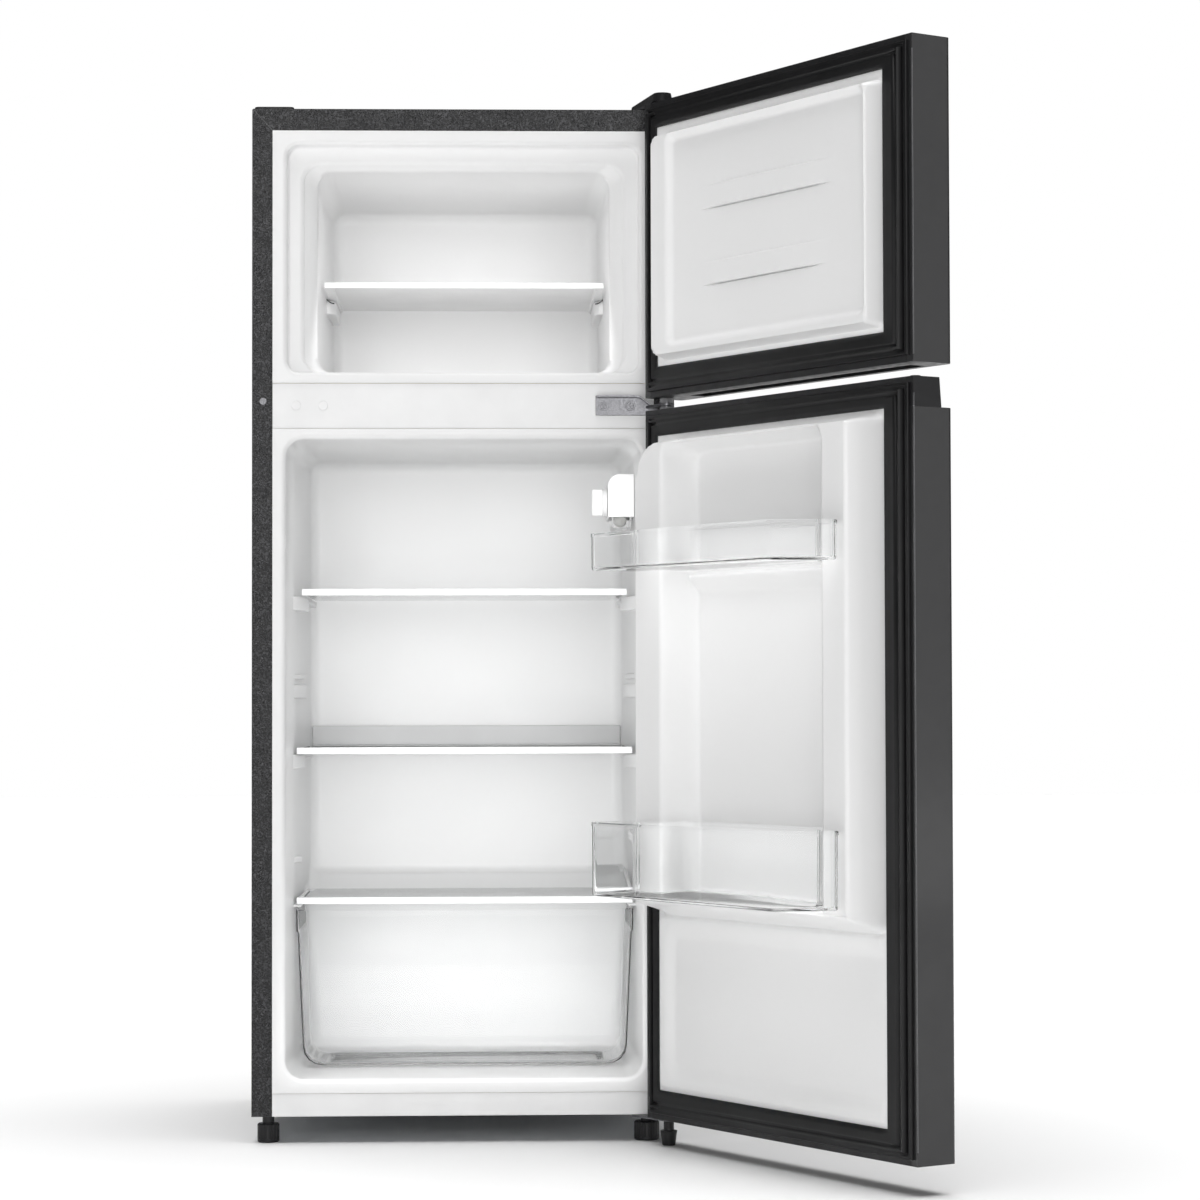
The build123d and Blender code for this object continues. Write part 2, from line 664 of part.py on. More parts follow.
def lower_shelf_trim():
    """Front strip and upright rear rail of the lower shelf."""
    shelf = LOWER_SHELF
    z = shelf["z"]
    rail = block(-shelf["half"] + 4, shelf["half"] - 4, shelf["back"] - 8, shelf["back"] + 2, z, z + 8)
    rail -= shelf_glass(shelf)
    upright = block(-shelf["half"] + 4, shelf["half"] - 4, shelf["back"] - 1, shelf["back"] + 2,
                    z + 7.9, z + 32)
    return group([front_trim(shelf), rail + upright])


def crisper_cover_trim():
    """Front strip and two sloping side clips of the crisper's cover."""
    shelf = CRISPER_COVER
    top = shelf["z"] + TRIM_HEIGHT
    outer = shelf["half"]
    clip = block(outer - 6, outer - 2, SHELF_FRONT + TRIM_DEPTH + 0.2, 300, shelf["z"] + 6.0, top)
    return group([front_trim(shelf), clip, mirrored(clip)])


def crisper_section(z, half, front, back, radius):
    """One level of the drawer's outline."""
    return Pos(0, (front + back) / 2, z) * RectangleRounded(2 * half, back - front, radius)


def crisper_drawer():
    """Clear drawer, narrower at the bottom, with a stepped rim and ribs under its floor."""
    wall = 2.4
    low = loft([crisper_section(DRAWER_BOTTOM, 194.5, 108, 270, 15),
                crisper_section(238, 201, 101, 279, 15)])
    low += loft([crisper_section(237.9, 202.4, 100, 281, 15),
                 crisper_section(DRAWER_TOP, 202.8, 99.5, 282, 15)])
    hollow = loft([crisper_section(DRAWER_BOTTOM + wall, 194.5 - wall, 108 + wall, 270 - wall, 13),
                   crisper_section(238, 201 - wall, 101 + wall, 279 - wall, 13)])
    hollow += loft([crisper_section(237.9, 202.4 - wall, 100 + wall, 281 - wall, 13),
                    crisper_section(DRAWER_TOP + 0.1, 202.8 - wall, 99.5 + wall, 282 - wall, 13)])
    return low - hollow


# ---- doors ----
def door_slab(low, high, grow=0.0):
    """The door's solid outline between two heights, with round front edges."""
    x = HALF - grow
    slab = block(-x, x, DOOR_FRONT + grow, DOOR_BACK - grow, low, high)
    front = slab.edges().filter_by(Axis.Z).group_by(Axis.Y)[0]
    return fillet(front, DOOR_CORNER - grow)


def door_skin(low, high):
    """Painted steel skin: front, two sides and a hem turned onto the inner face."""
    skin = door_slab(low, high) - door_slab(low - 1, high + 1, DOOR_SKIN)
    opening = HALF - HEM
    return skin - block(-opening, opening, DOOR_BACK - DOOR_SKIN - 0.1, DOOR_BACK, low, high)


def inside_skin(low, high):
    """A block that fills the skin between two heights."""
    return door_slab(low, high, DOOR_SKIN + 0.15)


def back_strip(low, high):
    """The part of an end cap that closes the inner face between the hems."""
    opening = HALF - HEM - 0.2
    return block(-opening, opening, DOOR_BACK - DOOR_SKIN - 0.3, DOOR_BACK, low, high)


def bush_hole(low, high):
    """The seat of a hinge bush."""
    return post(PIN_X, PIN_Y, BUSH_R, low, high)


def freezer_door_skin():
    """Steel skin of the freezer door."""
    return door_skin(*FREEZER_DOOR)


def freezer_door_top_cap():
    """Plastic cap that closes the top end of the freezer door."""
    high = FREEZER_DOOR[1]
    cap = inside_skin(high - CAP_HEIGHT, high) + back_strip(high - CAP_HEIGHT, high)
    return cap - bush_hole(high - CAP_HEIGHT, high)


def freezer_door_bottom_cap():
    """Plastic cap that closes the bottom end, with a hollow for the fingers."""
    low = FREEZER_DOOR[0]
    cap = inside_skin(low, low + CAP_HEIGHT) + back_strip(low, low + CAP_HEIGHT)
    cap -= bush_hole(low, low + CAP_HEIGHT)
    return cap - block(-215, 190, DOOR_FRONT + 8, DOOR_FRONT + 30, low, low + 9)


def freezer_door_foam():
    """Foam core of the freezer door."""
    low, high = FREEZER_DOOR
    return inside_skin(low + CAP_HEIGHT + 0.2, high - CAP_HEIGHT - 0.2)


def gasket_ring(outer, inner, low, high, y0, y1):
    """A flat ring round a door; its insets are at the hinge side, free side, bottom and top."""
    def field(insets):
        hinge, free, bottom, top = insets
        return block(-HALF + free, HALF - hinge, y0, y1, low + bottom, high - top)

    return field(outer) - field(inner)


def door_gasket(low, high):
    """Magnetic gasket: a flat flange all round and a thicker bellows along its outer edge."""
    sides = (GASKET_HINGE, GASKET_FREE, GASKET_BOTTOM, GASKET_TOP)
    outer = [side[0] for side in sides]
    inner = [side[1] for side in sides]
    bellows = [inset + GASKET_BELLOWS for inset in outer]
    base = DOOR_BACK + 0.1
    flange = gasket_ring(outer, inner, low, high, base, base + GASKET_FLANGE)
    return flange + gasket_ring(outer, bellows, low, high, base + GASKET_FLANGE, GASKET_FACE)


def freezer_door_gasket():
    """Gasket of the freezer door."""
    return door_gasket(*FREEZER_DOOR)


def plan_uw(points, z0, z1):
    """An outline given in door distances u and w, extruded from z0 to z1."""
    return plan([door_point(u, w) for u, w in points], z0, z1)


def across_door(points, u0, u1):
    """An outline in w and height, extruded along the door from u0 to u1."""
    return profile([(DOOR_BACK + w, z) for w, z in points], HALF - u1, HALF - u0)


def panel_sheet(low, high):
    """The flat sheet of a door's inner panel, inside its gasket."""
    clear = 0.2
    return block(-HALF + GASKET_FREE[1] + clear, HALF - GASKET_HINGE[1] - clear, DOOR_BACK + 0.1,
                 DOOR_BACK + SHEET + 0.1, low + GASKET_BOTTOM[1] + clear, high - GASKET_TOP[1] - clear)


def rounded_field(u0, u1, z0, z1, radius):
    """A thick rounded rectangle given in door distance u and height, to trim a raised field with."""
    centre = HALF - (u0 + u1) / 2
    return Pos(centre, 0, 0) * extrude(rounded_section(DOOR_BACK, (u1 - u0) / 2, z0, z1, radius), -60)


def freezer_door_liner():
    """White inner panel with a raised border around a shallower middle."""
    z0, z1 = 906.0, 1168.0
    high = FREEZER_RAISED
    raised = plan_uw([(38, SHEET), (45, high), (444, high), (447.5, SHEET)], z0, z1)
    raised &= across_door([(SHEET, z0), (high, z0 + 5), (high, z1 - 4), (SHEET, z1)], 30, 450)
    raised &= rounded_field(38, 447.5, z0, z1, 16)
    raised -= plan_uw([(74, high - 6), (80, 14), (430, 14), (438, high - 6), (438, high + 1), (74, high + 1)],
                      z0 + 16, z1 - 8)
    return panel_sheet(*FREEZER_DOOR) + raised


def hinge_bush(low, high, flange_low, flange_high):
    """Plastic bush in a door cap, bored for the hinge pin."""
    bush = post(PIN_X, PIN_Y, BUSH_R - 0.05, low, high)
    if flange_high > flange_low:
        bush += post(PIN_X, PIN_Y, BUSH_R + 1.0, flange_low, flange_high)
    return bush


def bore(low, high):
    """The running hole for a hinge pin."""
    return post(PIN_X, PIN_Y, PIN_R + RUNNING, low, high)


def freezer_door_bushes():
    """The freezer door's two hinge bushes."""
    low, high = FREEZER_DOOR
    lower = hinge_bush(low + 0.1, low + CAP_HEIGHT, low - 5.0, low - 0.1)
    lower += post(PIN_X, PIN_Y, BUSH_R - 0.1, low - 1, low + 1)
    upper = hinge_bush(high - CAP_HEIGHT, high - 0.1, 0, 0)
    return group([lower - bore(low - 6, low + 12.5), upper - bore(high - 12.8, high)])


def fridge_door_skin():
    """Steel skin of the fridge door, up to the grip recess."""
    return door_skin(FRIDGE_DOOR[0], FRIDGE_PANEL_TOP)


def fridge_door_top_cap():
    """Top end cap: it fills the skin's end and stands above it, set back to make the grip recess."""
    seat = FRIDGE_PANEL_TOP - CAP_HEIGHT
    cap = inside_skin(seat, FRIDGE_PANEL_TOP) + back_strip(seat, FRIDGE_PANEL_TOP)
    top = FRIDGE_DOOR[1]
    head = [
        (DOOR_BACK, FRIDGE_PANEL_TOP),
        (DOOR_BACK - GRIP_DEPTH_LOW, FRIDGE_PANEL_TOP),
        (DOOR_BACK - GRIP_DEPTH_TOP, top),
        (DOOR_BACK, top),
    ]
    cap += profile(head, -HALF, HALF)
    return cap - bush_hole(top - 16, top) - post(-HALF + 18, DOOR_BACK - 17, 4.0, top - 6, top)


def fridge_door_bottom_cap():
    """Plastic cap that closes the bottom end of the fridge door."""
    low = FRIDGE_DOOR[0]
    cap = inside_skin(low, low + CAP_HEIGHT) + back_strip(low, low + CAP_HEIGHT)
    return cap - bush_hole(low, low + CAP_HEIGHT)


def fridge_door_foam():
    """Foam core of the fridge door."""
    return inside_skin(FRIDGE_DOOR[0] + CAP_HEIGHT + 0.2, FRIDGE_PANEL_TOP - CAP_HEIGHT - 0.2)


def fridge_door_gasket():
    """Gasket of the fridge door."""
    return door_gasket(*FRIDGE_DOOR)


def fridge_door_liner():
    """White inner panel: a raised column down each side, joined by a raised bar at the top."""
    z0, z1 = 287.0, 815.0
    high = COLUMN_RAISED
    hinge_column = plan_uw([(38, SHEET), (47, high), (92, high), (99, SHEET)], z0, z1)
    free_column = plan_uw([(396, SHEET), (403, high), (440, high), (447.5, SHEET)], z0, z1)
    bar = plan_uw([(38, SHEET), (47, high), (440, high), (447.5, SHEET)], z1 - 34, z1)
    raised = hinge_column + free_column + bar
    raised &= across_door([(SHEET, z0), (high, z0 + 22), (high, z1 - 12), (SHEET, z1)], 30, 450)
    raised &= rounded_field(38, 447.5, z0 - 60, z1, 32)
    pad = plan_uw([(32, SHEET), (34, 8), (445, 8), (447, SHEET)], 69, 268)
    pad -= plan_uw([(48, 9), (66, 2.5), (410, 2.5), (428, 9)], 84, 250)
    return panel_sheet(*FRIDGE_DOOR) + raised + pad


def fridge_door_bushes():
    """The fridge door's two hinge bushes."""
    low, high = FRIDGE_DOOR
    lower = hinge_bush(low + 0.1, low + CAP_HEIGHT, 0, 0)
    upper = hinge_bush(high - 15.9, high - 0.1, high + 0.1, high + 4.8)
    upper += post(PIN_X, PIN_Y, BUSH_R - 0.1, high - 1, high + 1)
    return group([lower - bore(low - 1, low + 12.5), upper - bore(high - 13.5, high + 6)])


def door_hole_plug():
    """Small plug in the spare hinge hole at the free end of the fridge door's top."""
    x, y, top = -HALF + 18, DOOR_BACK - 17, FRIDGE_DOOR[1]
    return post(x, y, 3.9, top - 5.5, top + 0.1) + post(x, y, 5.5, top + 0.05, top + 2.2)


BIN_OUTLINE = [(104, 14), (396, 14), (396, 52), (436, 52), (401, 118), (59, 118), (59, 52), (104, 52)]


def door_bin(low, high):
    """Clear open tray that fits between the door's columns and in front of them."""
    outer = plan_uw(BIN_OUTLINE, low, high)
    outline = make_face(Polyline(*[door_point(u, w) for u, w in BIN_OUTLINE], close=True))
    inner = offset(outline, -BIN_WALL, kind=Kind.INTERSECTION)
    return outer - extrude(Pos(0, 0, low + BIN_WALL) * inner, high - low)


def upper_door_bin():
    """The low bin high in the door."""
    return door_bin(*UPPER_BIN_Z)


def lower_door_bin():
    """The deep bin low in the door."""
    return door_bin(*LOWER_BIN_Z)


# ---- assembly ----
CABINET = [
    outer_wrapper, rear_panel, base_pan, recess_panel, foam_insulation, freezer_liner, fridge_liner,
    divider_rail, divider_plugs, toe_rail, top_hinge, top_hinge_cover, spare_hinge_cover, middle_hinge,
    bottom_hinge, hinge_screws, flange_screw, front_foot_left, front_foot_right, hinge_foot, rear_feet,
    compressor_plate, compressor, compressor_grommets, relay_cover, refrigerant_tubes, filter_drier,
    water_tray, cord_gland, freezer_evaporator, fridge_evaporator, control_box, lamp_lens, lamp_bulb,
    thermostat_knob, freezer_shelf, upper_shelf_trim, lower_shelf_trim, crisper_cover_trim, crisper_drawer,
]
DOORS = [
    freezer_door_skin, freezer_door_top_cap, freezer_door_bottom_cap, freezer_door_foam,
    freezer_door_liner, freezer_door_gasket, freezer_door_bushes, fridge_door_skin, fridge_door_top_cap,
    fridge_door_bottom_cap, fridge_door_foam, fridge_door_liner, fridge_door_gasket, fridge_door_bushes,
    door_hole_plug, upper_door_bin, lower_door_bin,
]

for build in CABINET:
    nodes[build.__name__] = build()
nodes["upper_shelf_glass"] = shelf_glass(UPPER_SHELF)
nodes["lower_shelf_glass"] = shelf_glass(LOWER_SHELF)
nodes["crisper_cover_glass"] = shelf_glass(CRISPER_COVER)
for build in DOORS:
    nodes[build.__name__] = swing(build())

boxes = [shape.bounding_box() for shape in nodes.values()]
CENTRE_X = (min(b.min.X for b in boxes) + max(b.max.X for b in boxes)) / 2
CENTRE_Y = (min(b.min.Y for b in boxes) + max(b.max.Y for b in boxes)) / 2

os.makedirs("parts", exist_ok=True)
for name, shape in nodes.items():
    export_step(Pos(-CENTRE_X, -CENTRE_Y, 0) * shape, f"parts/{name}.step")
print(f"origin is at X {CENTRE_X:.4f}, Y {CENTRE_Y:.4f} of the cabinet's own axes")
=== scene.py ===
import json
import math
from typing import NamedTuple

import bmesh
import bpy
from mathutils import Matrix, Vector


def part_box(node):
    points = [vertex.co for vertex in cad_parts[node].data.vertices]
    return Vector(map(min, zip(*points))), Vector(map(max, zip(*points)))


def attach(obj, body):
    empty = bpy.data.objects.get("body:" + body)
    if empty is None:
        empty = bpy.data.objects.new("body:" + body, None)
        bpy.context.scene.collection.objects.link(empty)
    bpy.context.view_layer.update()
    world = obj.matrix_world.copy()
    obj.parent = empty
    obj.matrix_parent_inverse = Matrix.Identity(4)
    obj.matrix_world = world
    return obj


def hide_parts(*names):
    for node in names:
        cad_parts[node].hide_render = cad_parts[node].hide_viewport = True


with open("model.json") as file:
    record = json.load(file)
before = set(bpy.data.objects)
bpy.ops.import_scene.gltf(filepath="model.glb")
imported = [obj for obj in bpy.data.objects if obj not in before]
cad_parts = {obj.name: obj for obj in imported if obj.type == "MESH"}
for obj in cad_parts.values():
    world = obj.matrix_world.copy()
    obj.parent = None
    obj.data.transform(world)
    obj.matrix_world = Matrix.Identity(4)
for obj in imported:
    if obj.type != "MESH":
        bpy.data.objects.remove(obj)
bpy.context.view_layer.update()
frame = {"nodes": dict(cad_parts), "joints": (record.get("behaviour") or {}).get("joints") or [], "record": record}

# Looks of a two-door refrigerator with a top freezer, both doors standing open.
# Shapes below are written in millimetres in the cabinet's own axes: X from its centre plane,
# Y back from its front face, Z up from the floor. A closed door has its own axes: u from its
# hinge edge, w out from its inner plane, and Z.

MM = 0.001
NODES = frame["nodes"]
JOINTS = {joint["name"]: joint for joint in frame["joints"]}
BODY_OF = {
    node: body
    for body, nodes in frame["record"]["behaviour"]["bodies"].items()
    for node in nodes
}


# ---- places read from the frame ----
WRAPPER_LOW, WRAPPER_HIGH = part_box("outer_wrapper")
CENTRE_X = (WRAPPER_LOW.x + WRAPPER_HIGH.x) / 2
FRONT_Y = WRAPPER_LOW.y
HALF = (WRAPPER_HIGH.x - WRAPPER_LOW.x) / 2 / MM
CASE_TOP = WRAPPER_HIGH.z / MM


def row(x, y, z):
    """A point of the cabinet in millimetres, as a point of the frame in metres."""
    return Vector((CENTRE_X + x * MM, FRONT_Y + y * MM, z * MM))


def cabinet_span(low, high):
    """A box of the frame as its limits in cabinet millimetres."""
    shift = Vector((CENTRE_X, FRONT_Y, 0))
    return (low - shift) / MM, (high - shift) / MM


def span(node):
    """The limits of a CAD node at rest, in cabinet millimetres."""
    return cabinet_span(*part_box(node))


PIN = Vector(JOINTS["freezer_door_swing"]["pos_m"])
OPEN_ANGLE = -math.radians(JOINTS["freezer_door_swing"]["range_deg"][0])
OPENED = Matrix.Translation(PIN) @ Matrix.Rotation(OPEN_ANGLE, 4, "Z") @ Matrix.Translation(-PIN)
CLOSED = OPENED.inverted()


def closed_span(node):
    """The limits of a door's node with its door closed, in cabinet millimetres."""
    points = [CLOSED @ vertex.co for vertex in NODES[node].data.vertices]
    low = Vector([min(point[axis] for point in points) for axis in range(3)])
    high = Vector([max(point[axis] for point in points) for axis in range(3)])
    return cabinet_span(low, high)


DOOR_BACK = closed_span("freezer_door_skin")[1].y


def door(u, w, z):
    """A point of a closed door, turned to where it stands with the door open."""
    return OPENED @ row(HALF - u, DOOR_BACK + w, z)


# ---- materials ----
LAMP_SHARE = 0.60  # how much of a lamp's light a clear wall lets through


class Paint:
    """A material with one Principled shader and the textures that feed it."""

    def __init__(self, name, colour, roughness, **sockets):
        self.material = bpy.data.materials.new(name)
        self.material.use_nodes = True
        self.tree = self.material.node_tree
        self.shader = self.tree.nodes["Principled BSDF"]
        self.colour = colour
        self.roughness = roughness
        self.shader.inputs["Base Color"].default_value = (*colour, 1)
        self.shader.inputs["Roughness"].default_value = roughness
        for socket, value in sockets.items():
            self.shader.inputs[socket.replace("_", " ")].default_value = value
        self.place = self.node("ShaderNodeTexCoord").outputs["Object"]

    def node(self, kind, **values):
        made = self.tree.nodes.new(kind)
        for socket, value in values.items():
            made.inputs[socket].default_value = value
        return made

    def link(self, source, target):
        self.tree.links.new(source, target)

    def stretched(self, scale):
        """The place, scaled differently along each axis."""
        mapping = self.node("ShaderNodeMapping")
        mapping.inputs["Scale"].default_value = scale
        self.link(self.place, mapping.inputs["Vector"])
        return mapping.outputs["Vector"]

    def noise(self, per_metre, detail=3.0, distortion=0.0, place=None):
        made = self.node("ShaderNodeTexNoise", Scale=per_metre, Detail=detail, Distortion=distortion)
        self.link(place or self.place, made.inputs["Vector"])
        return made.outputs["Fac"]

    def cells(self, per_metre):
        made = self.node("ShaderNodeTexVoronoi", Scale=per_metre)
        self.link(self.place, made.inputs["Vector"])
        return made.outputs["Distance"]

    def ranged(self, source, low, high, source_low=0.35, source_high=0.65):
        """A texture's values spread from low to high."""
        made = self.node("ShaderNodeMapRange")
        for socket, value in zip(("From Min", "From Max", "To Min", "To Max"),
                                 (source_low, source_high, low, high)):
            made.inputs[socket].default_value = value
        self.link(source, made.inputs["Value"])
        return made.outputs["Result"]

    def tint(self, source, darker, lighter):
        """The colour, varied by a texture between two shares of itself."""
        ramp = self.node("ShaderNodeValToRGB")
        ramp.color_ramp.elements[0].position = 0.3
        ramp.color_ramp.elements[1].position = 0.7
        for element, share in zip(ramp.color_ramp.elements, (darker, lighter)):
            element.color = (*(min(1.0, channel * share) for channel in self.colour), 1)
        self.link(source, ramp.inputs["Fac"])
        self.link(ramp.outputs["Color"], self.shader.inputs["Base Color"])

    def painted_shade_deeper_in(self, start, stop, share):
        """Painted shade: the colour, down to a share of itself between two depths in the cabinet, darker further
        in.
        """
        parts = self.node("ShaderNodeSeparateXYZ")
        self.link(self.place, parts.inputs["Vector"])
        near, far = row(0, start, 0).y, row(0, stop, 0).y
        self.tint(self.ranged(parts.outputs["Y"], 0.8, 0.2, near, far), share, 1.0)

    def gloss(self, source, spread):
        """The roughness, varied by a texture."""
        low, high = self.roughness - spread, self.roughness + spread
        self.link(self.ranged(source, low, high), self.shader.inputs["Roughness"])

    def bump(self, source, depth_mm, strength=1.0, under=None):
        """A fine relief of that depth."""
        made = self.node("ShaderNodeBump", Strength=strength, Distance=depth_mm * MM)
        self.link(source, made.inputs["Height"])
        if under:
            self.link(under, made.inputs["Normal"])
        self.link(made.outputs["Normal"], self.shader.inputs["Normal"])
        return made.outputs["Normal"]

    def lets_lamps_through(self):
        """Lamps shine through as through a thin clear wall."""
        output = self.tree.nodes["Material Output"]
        clear = self.node("ShaderNodeBsdfTransparent", Color=(LAMP_SHARE, LAMP_SHARE, LAMP_SHARE, 1))
        mix = self.node("ShaderNodeMixShader")
        rays = self.node("ShaderNodeLightPath")
        self.link(rays.outputs["Is Shadow Ray"], mix.inputs[0])
        self.link(self.shader.outputs["BSDF"], mix.inputs[1])
        self.link(clear.outputs["BSDF"], mix.inputs[2])
        self.link(mix.outputs["Shader"], output.inputs["Surface"])


def stucco_steel():
    """Dark painted steel rolled with a pattern of small rounded worms, their raised tops painted lighter as a
    painted highlight.
    """
    paint = Paint("stucco_steel", (0.011, 0.011, 0.012), 0.28, Specular_IOR_Level=0.35)
    swirl = paint.noise(235, detail=0.0, distortion=2.6)
    worm_relief_and_painted_glints = paint.ranged(swirl, 0.0, 1.0, 0.43, 0.57)
    # Painted highlight: the worms' raised tops are coloured up to 3.6 times lighter, standing in for their glints.
    paint.tint(worm_relief_and_painted_glints, 0.3, 3.6)
    paint.gloss(paint.noise(90), 0.04)
    coarse = paint.bump(worm_relief_and_painted_glints, 0.7, 1.0)
    paint.bump(paint.cells(420), 0.25, 0.8, coarse)
    return paint.material


def door_steel():
    """Dark satin paint on flat steel, with the faint peel of a sprayed coat."""
    paint = Paint("door_steel", (0.017, 0.017, 0.018), 0.38, Specular_IOR_Level=0.35,
                  Coat_Weight=0.5, Coat_Roughness=0.1)
    peel = paint.noise(420, detail=2.0)
    paint.tint(paint.noise(9, detail=4.0), 0.93, 1.08)
    paint.gloss(paint.noise(60), 0.05)
    paint.bump(peel, 0.035, 0.6)
    return paint.material


def galvanised_steel():
    """Bare galvanised sheet with large flat crystals."""
    paint = Paint("galvanised_steel", (0.52, 0.54, 0.56), 0.42, Metallic=0.9)
    spangle = paint.cells(95)
    paint.tint(spangle, 0.75, 1.15)
    paint.gloss(spangle, 0.12)
    paint.bump(paint.noise(300), 0.05, 0.5)
    return paint.material


def zinc_steel():
    """Zinc plated steel with a fine mottled grain and duller patches."""
    paint = Paint("zinc_steel", (0.20, 0.20, 0.21), 0.36, Metallic=1.0)
    grain = paint.noise(900, detail=5.0)
    paint.tint(grain, 0.78, 1.2)
    paint.gloss(paint.cells(420), 0.05)
    paint.bump(grain, 0.03, 0.6)
    return paint.material


def foam():
    """Cut polyurethane foam with small open cells."""
    paint = Paint("foam", (0.78, 0.70, 0.48), 0.9)
    cells = paint.cells(900)
    paint.tint(paint.noise(40), 0.85, 1.1)
    paint.bump(cells, 0.5, 0.8)
    return paint.material


def white_liner():
    """Vacuum-formed white polystyrene with a soft sheen and a slow uneven stretch."""
    paint = Paint("white_liner", (0.88, 0.88, 0.88), 0.34)
    paint.tint(paint.noise(4, detail=1.0), 0.985, 1.01)
    paint.gloss(paint.noise(18), 0.03)
    paint.bump(paint.noise(900, detail=2.0), 0.012, 0.4)
    return paint.material


def white_plastic():
    """Moulded white plastic with a fine spark-eroded grain."""
    paint = Paint("white_plastic", (0.87, 0.87, 0.87), 0.34)
    paint.tint(paint.noise(20), 0.97, 1.02)
    paint.gloss(paint.noise(80), 0.05)
    paint.bump(paint.noise(1600, detail=3.0), 0.03, 0.5)
    return paint.material


def black_plastic():
    """Moulded black plastic with a fine matt grain."""
    paint = Paint("black_plastic", (0.008, 0.008, 0.009), 0.42, Specular_IOR_Level=0.4)
    paint.tint(paint.noise(30), 0.8, 1.25)
    paint.gloss(paint.noise(120), 0.07)
    paint.bump(paint.noise(1500, detail=3.0), 0.05, 0.6)
    return paint.material


def grey_plastic():
    """Slippery grey acetal."""
    paint = Paint("grey_plastic", (0.30, 0.30, 0.31), 0.38)
    paint.tint(paint.noise(60), 0.9, 1.1)
    paint.bump(paint.noise(1200), 0.02, 0.5)
    return paint.material


def gasket_rubber():
    """Soft dark vinyl with fine draw marks and a dusty sheen."""
    paint = Paint("gasket_rubber", (0.0045, 0.0045, 0.005), 0.40, Specular_IOR_Level=0.3)
    paint.tint(paint.noise(45, detail=2.0), 0.75, 1.3)
    paint.gloss(paint.noise(9, detail=1.0), 0.05)
    paint.bump(paint.noise(900, detail=1.0), 0.015, 0.4)
    return paint.material


def clear_plastic():
    """Clear moulded polystyrene, with the slight flow lines of its moulding."""
    paint = Paint("clear_plastic", (0.99, 0.992, 0.992), 0.03, Transmission_Weight=1.0, IOR=1.13,
                  Coat_Weight=0.12, Coat_Roughness=0.05)
    paint.gloss(paint.noise(12), 0.015)
    paint.bump(paint.noise(7, detail=0.0), 0.10, 0.2)
    paint.lets_lamps_through()
    return paint.material


def shelf_trim_plastic():
    """Milky white moulding along the edge of a pane, with painted shade greying it along its back, deeper in the
    cabinet.
    """
    paint = Paint("shelf_trim_plastic", (0.88, 0.885, 0.89), 0.22)
    # Painted shade: the trim is coloured darker the deeper it sits in the cabinet.
    paint.painted_shade_deeper_in(200, 330, 0.62)
    paint.gloss(paint.noise(50), 0.05)
    paint.bump(paint.noise(900), 0.02, 0.4)
    return paint.material


def shelf_glass():
    """Tempered glass with a slightly grey body."""
    paint = Paint("shelf_glass", (0.60, 0.61, 0.61), 0.03, Transmission_Weight=1.0, IOR=1.14)
    paint.gloss(paint.noise(40), 0.012)
    paint.bump(paint.noise(9, detail=1.0), 0.15, 0.2)
    paint.lets_lamps_through()
    return paint.material


def bulb_glass():
    """Frosted bulb glass."""
    paint = Paint("bulb_glass", (0.93, 0.93, 0.90), 0.25, Transmission_Weight=0.6, IOR=1.45)
    paint.tint(paint.noise(200), 0.95, 1.03)
    paint.bump(paint.noise(1800), 0.02, 0.5)
    return paint.material


def compressor_paint():
    """Thick black dip paint."""
    paint = Paint("compressor_paint", (0.018, 0.018, 0.020), 0.30)
    paint.tint(paint.noise(25), 0.8, 1.4)
    paint.gloss(paint.noise(70), 0.09)
    paint.bump(paint.noise(160, detail=2.0), 0.15, 0.5)
    return paint.material


def copper():
    """Copper tube, dulled in patches."""
    paint = Paint("copper", (0.72, 0.35, 0.20), 0.34, Metallic=1.0)
    paint.tint(paint.noise(90, detail=5.0), 0.6, 1.15)
    paint.gloss(paint.noise(60), 0.12)
    paint.bump(paint.noise(900), 0.03, 0.5)
    return paint.material


def aluminium():
    """Rolled aluminium plate with long fine scratches."""
    paint = Paint("aluminium", (0.72, 0.73, 0.74), 0.38, Metallic=1.0)
    rolled = paint.noise(30, detail=6.0, place=paint.stretched((0.4, 1.0, 25.0)))
    paint.tint(rolled, 0.85, 1.1)
    paint.bump(rolled, 0.03, 0.5)
    return paint.material


MATERIALS = {
    make.__name__: make()
    for make in (
        stucco_steel, door_steel, galvanised_steel, zinc_steel, foam, white_liner, white_plastic,
        black_plastic, grey_plastic, gasket_rubber, clear_plastic, shelf_trim_plastic, shelf_glass,
        bulb_glass, compressor_paint, copper, aluminium,
    )
}


# ---- making pieces ----
def face_outwards(mesh):
    """Turn all faces of a closed mesh outwards."""
    work = bmesh.new()
    work.from_mesh(mesh)
    bmesh.ops.recalc_face_normals(work, faces=work.faces)
    work.to_mesh(mesh)
    work.free()


def smooth(mesh, sharp_angle):
    """Smooth shading, with creases where faces meet at more than that angle."""
    mesh.shade_smooth()
    mesh.set_sharp_from_angle(angle=math.radians(sharp_angle))


def even_normals(piece):
    """Shade flat faces as flat, with the turning done in the rounded edges."""
    normals = piece.modifiers.new("normals", "WEIGHTED_NORMAL")
    normals.weight = 100
    normals.keep_sharp = True


def thicken(piece, thickness, offset):
    """Give a sheet its thickness in millimetres."""
    solid = piece.modifiers.new("thickness", "SOLIDIFY")
    solid.thickness = thickness * MM
    solid.offset = offset
    even_normals(piece)


def soften(piece, width, segments=3, angle=30):
    """Round the sharp edges by that width in millimetres."""
    bevel = piece.modifiers.new("edges", "BEVEL")
    bevel.width = width * MM
    bevel.segments = segments
    bevel.limit_method = "ANGLE"
    bevel.angle_limit = math.radians(angle)
    bevel.use_clamp_overlap = True
    even_normals(piece)


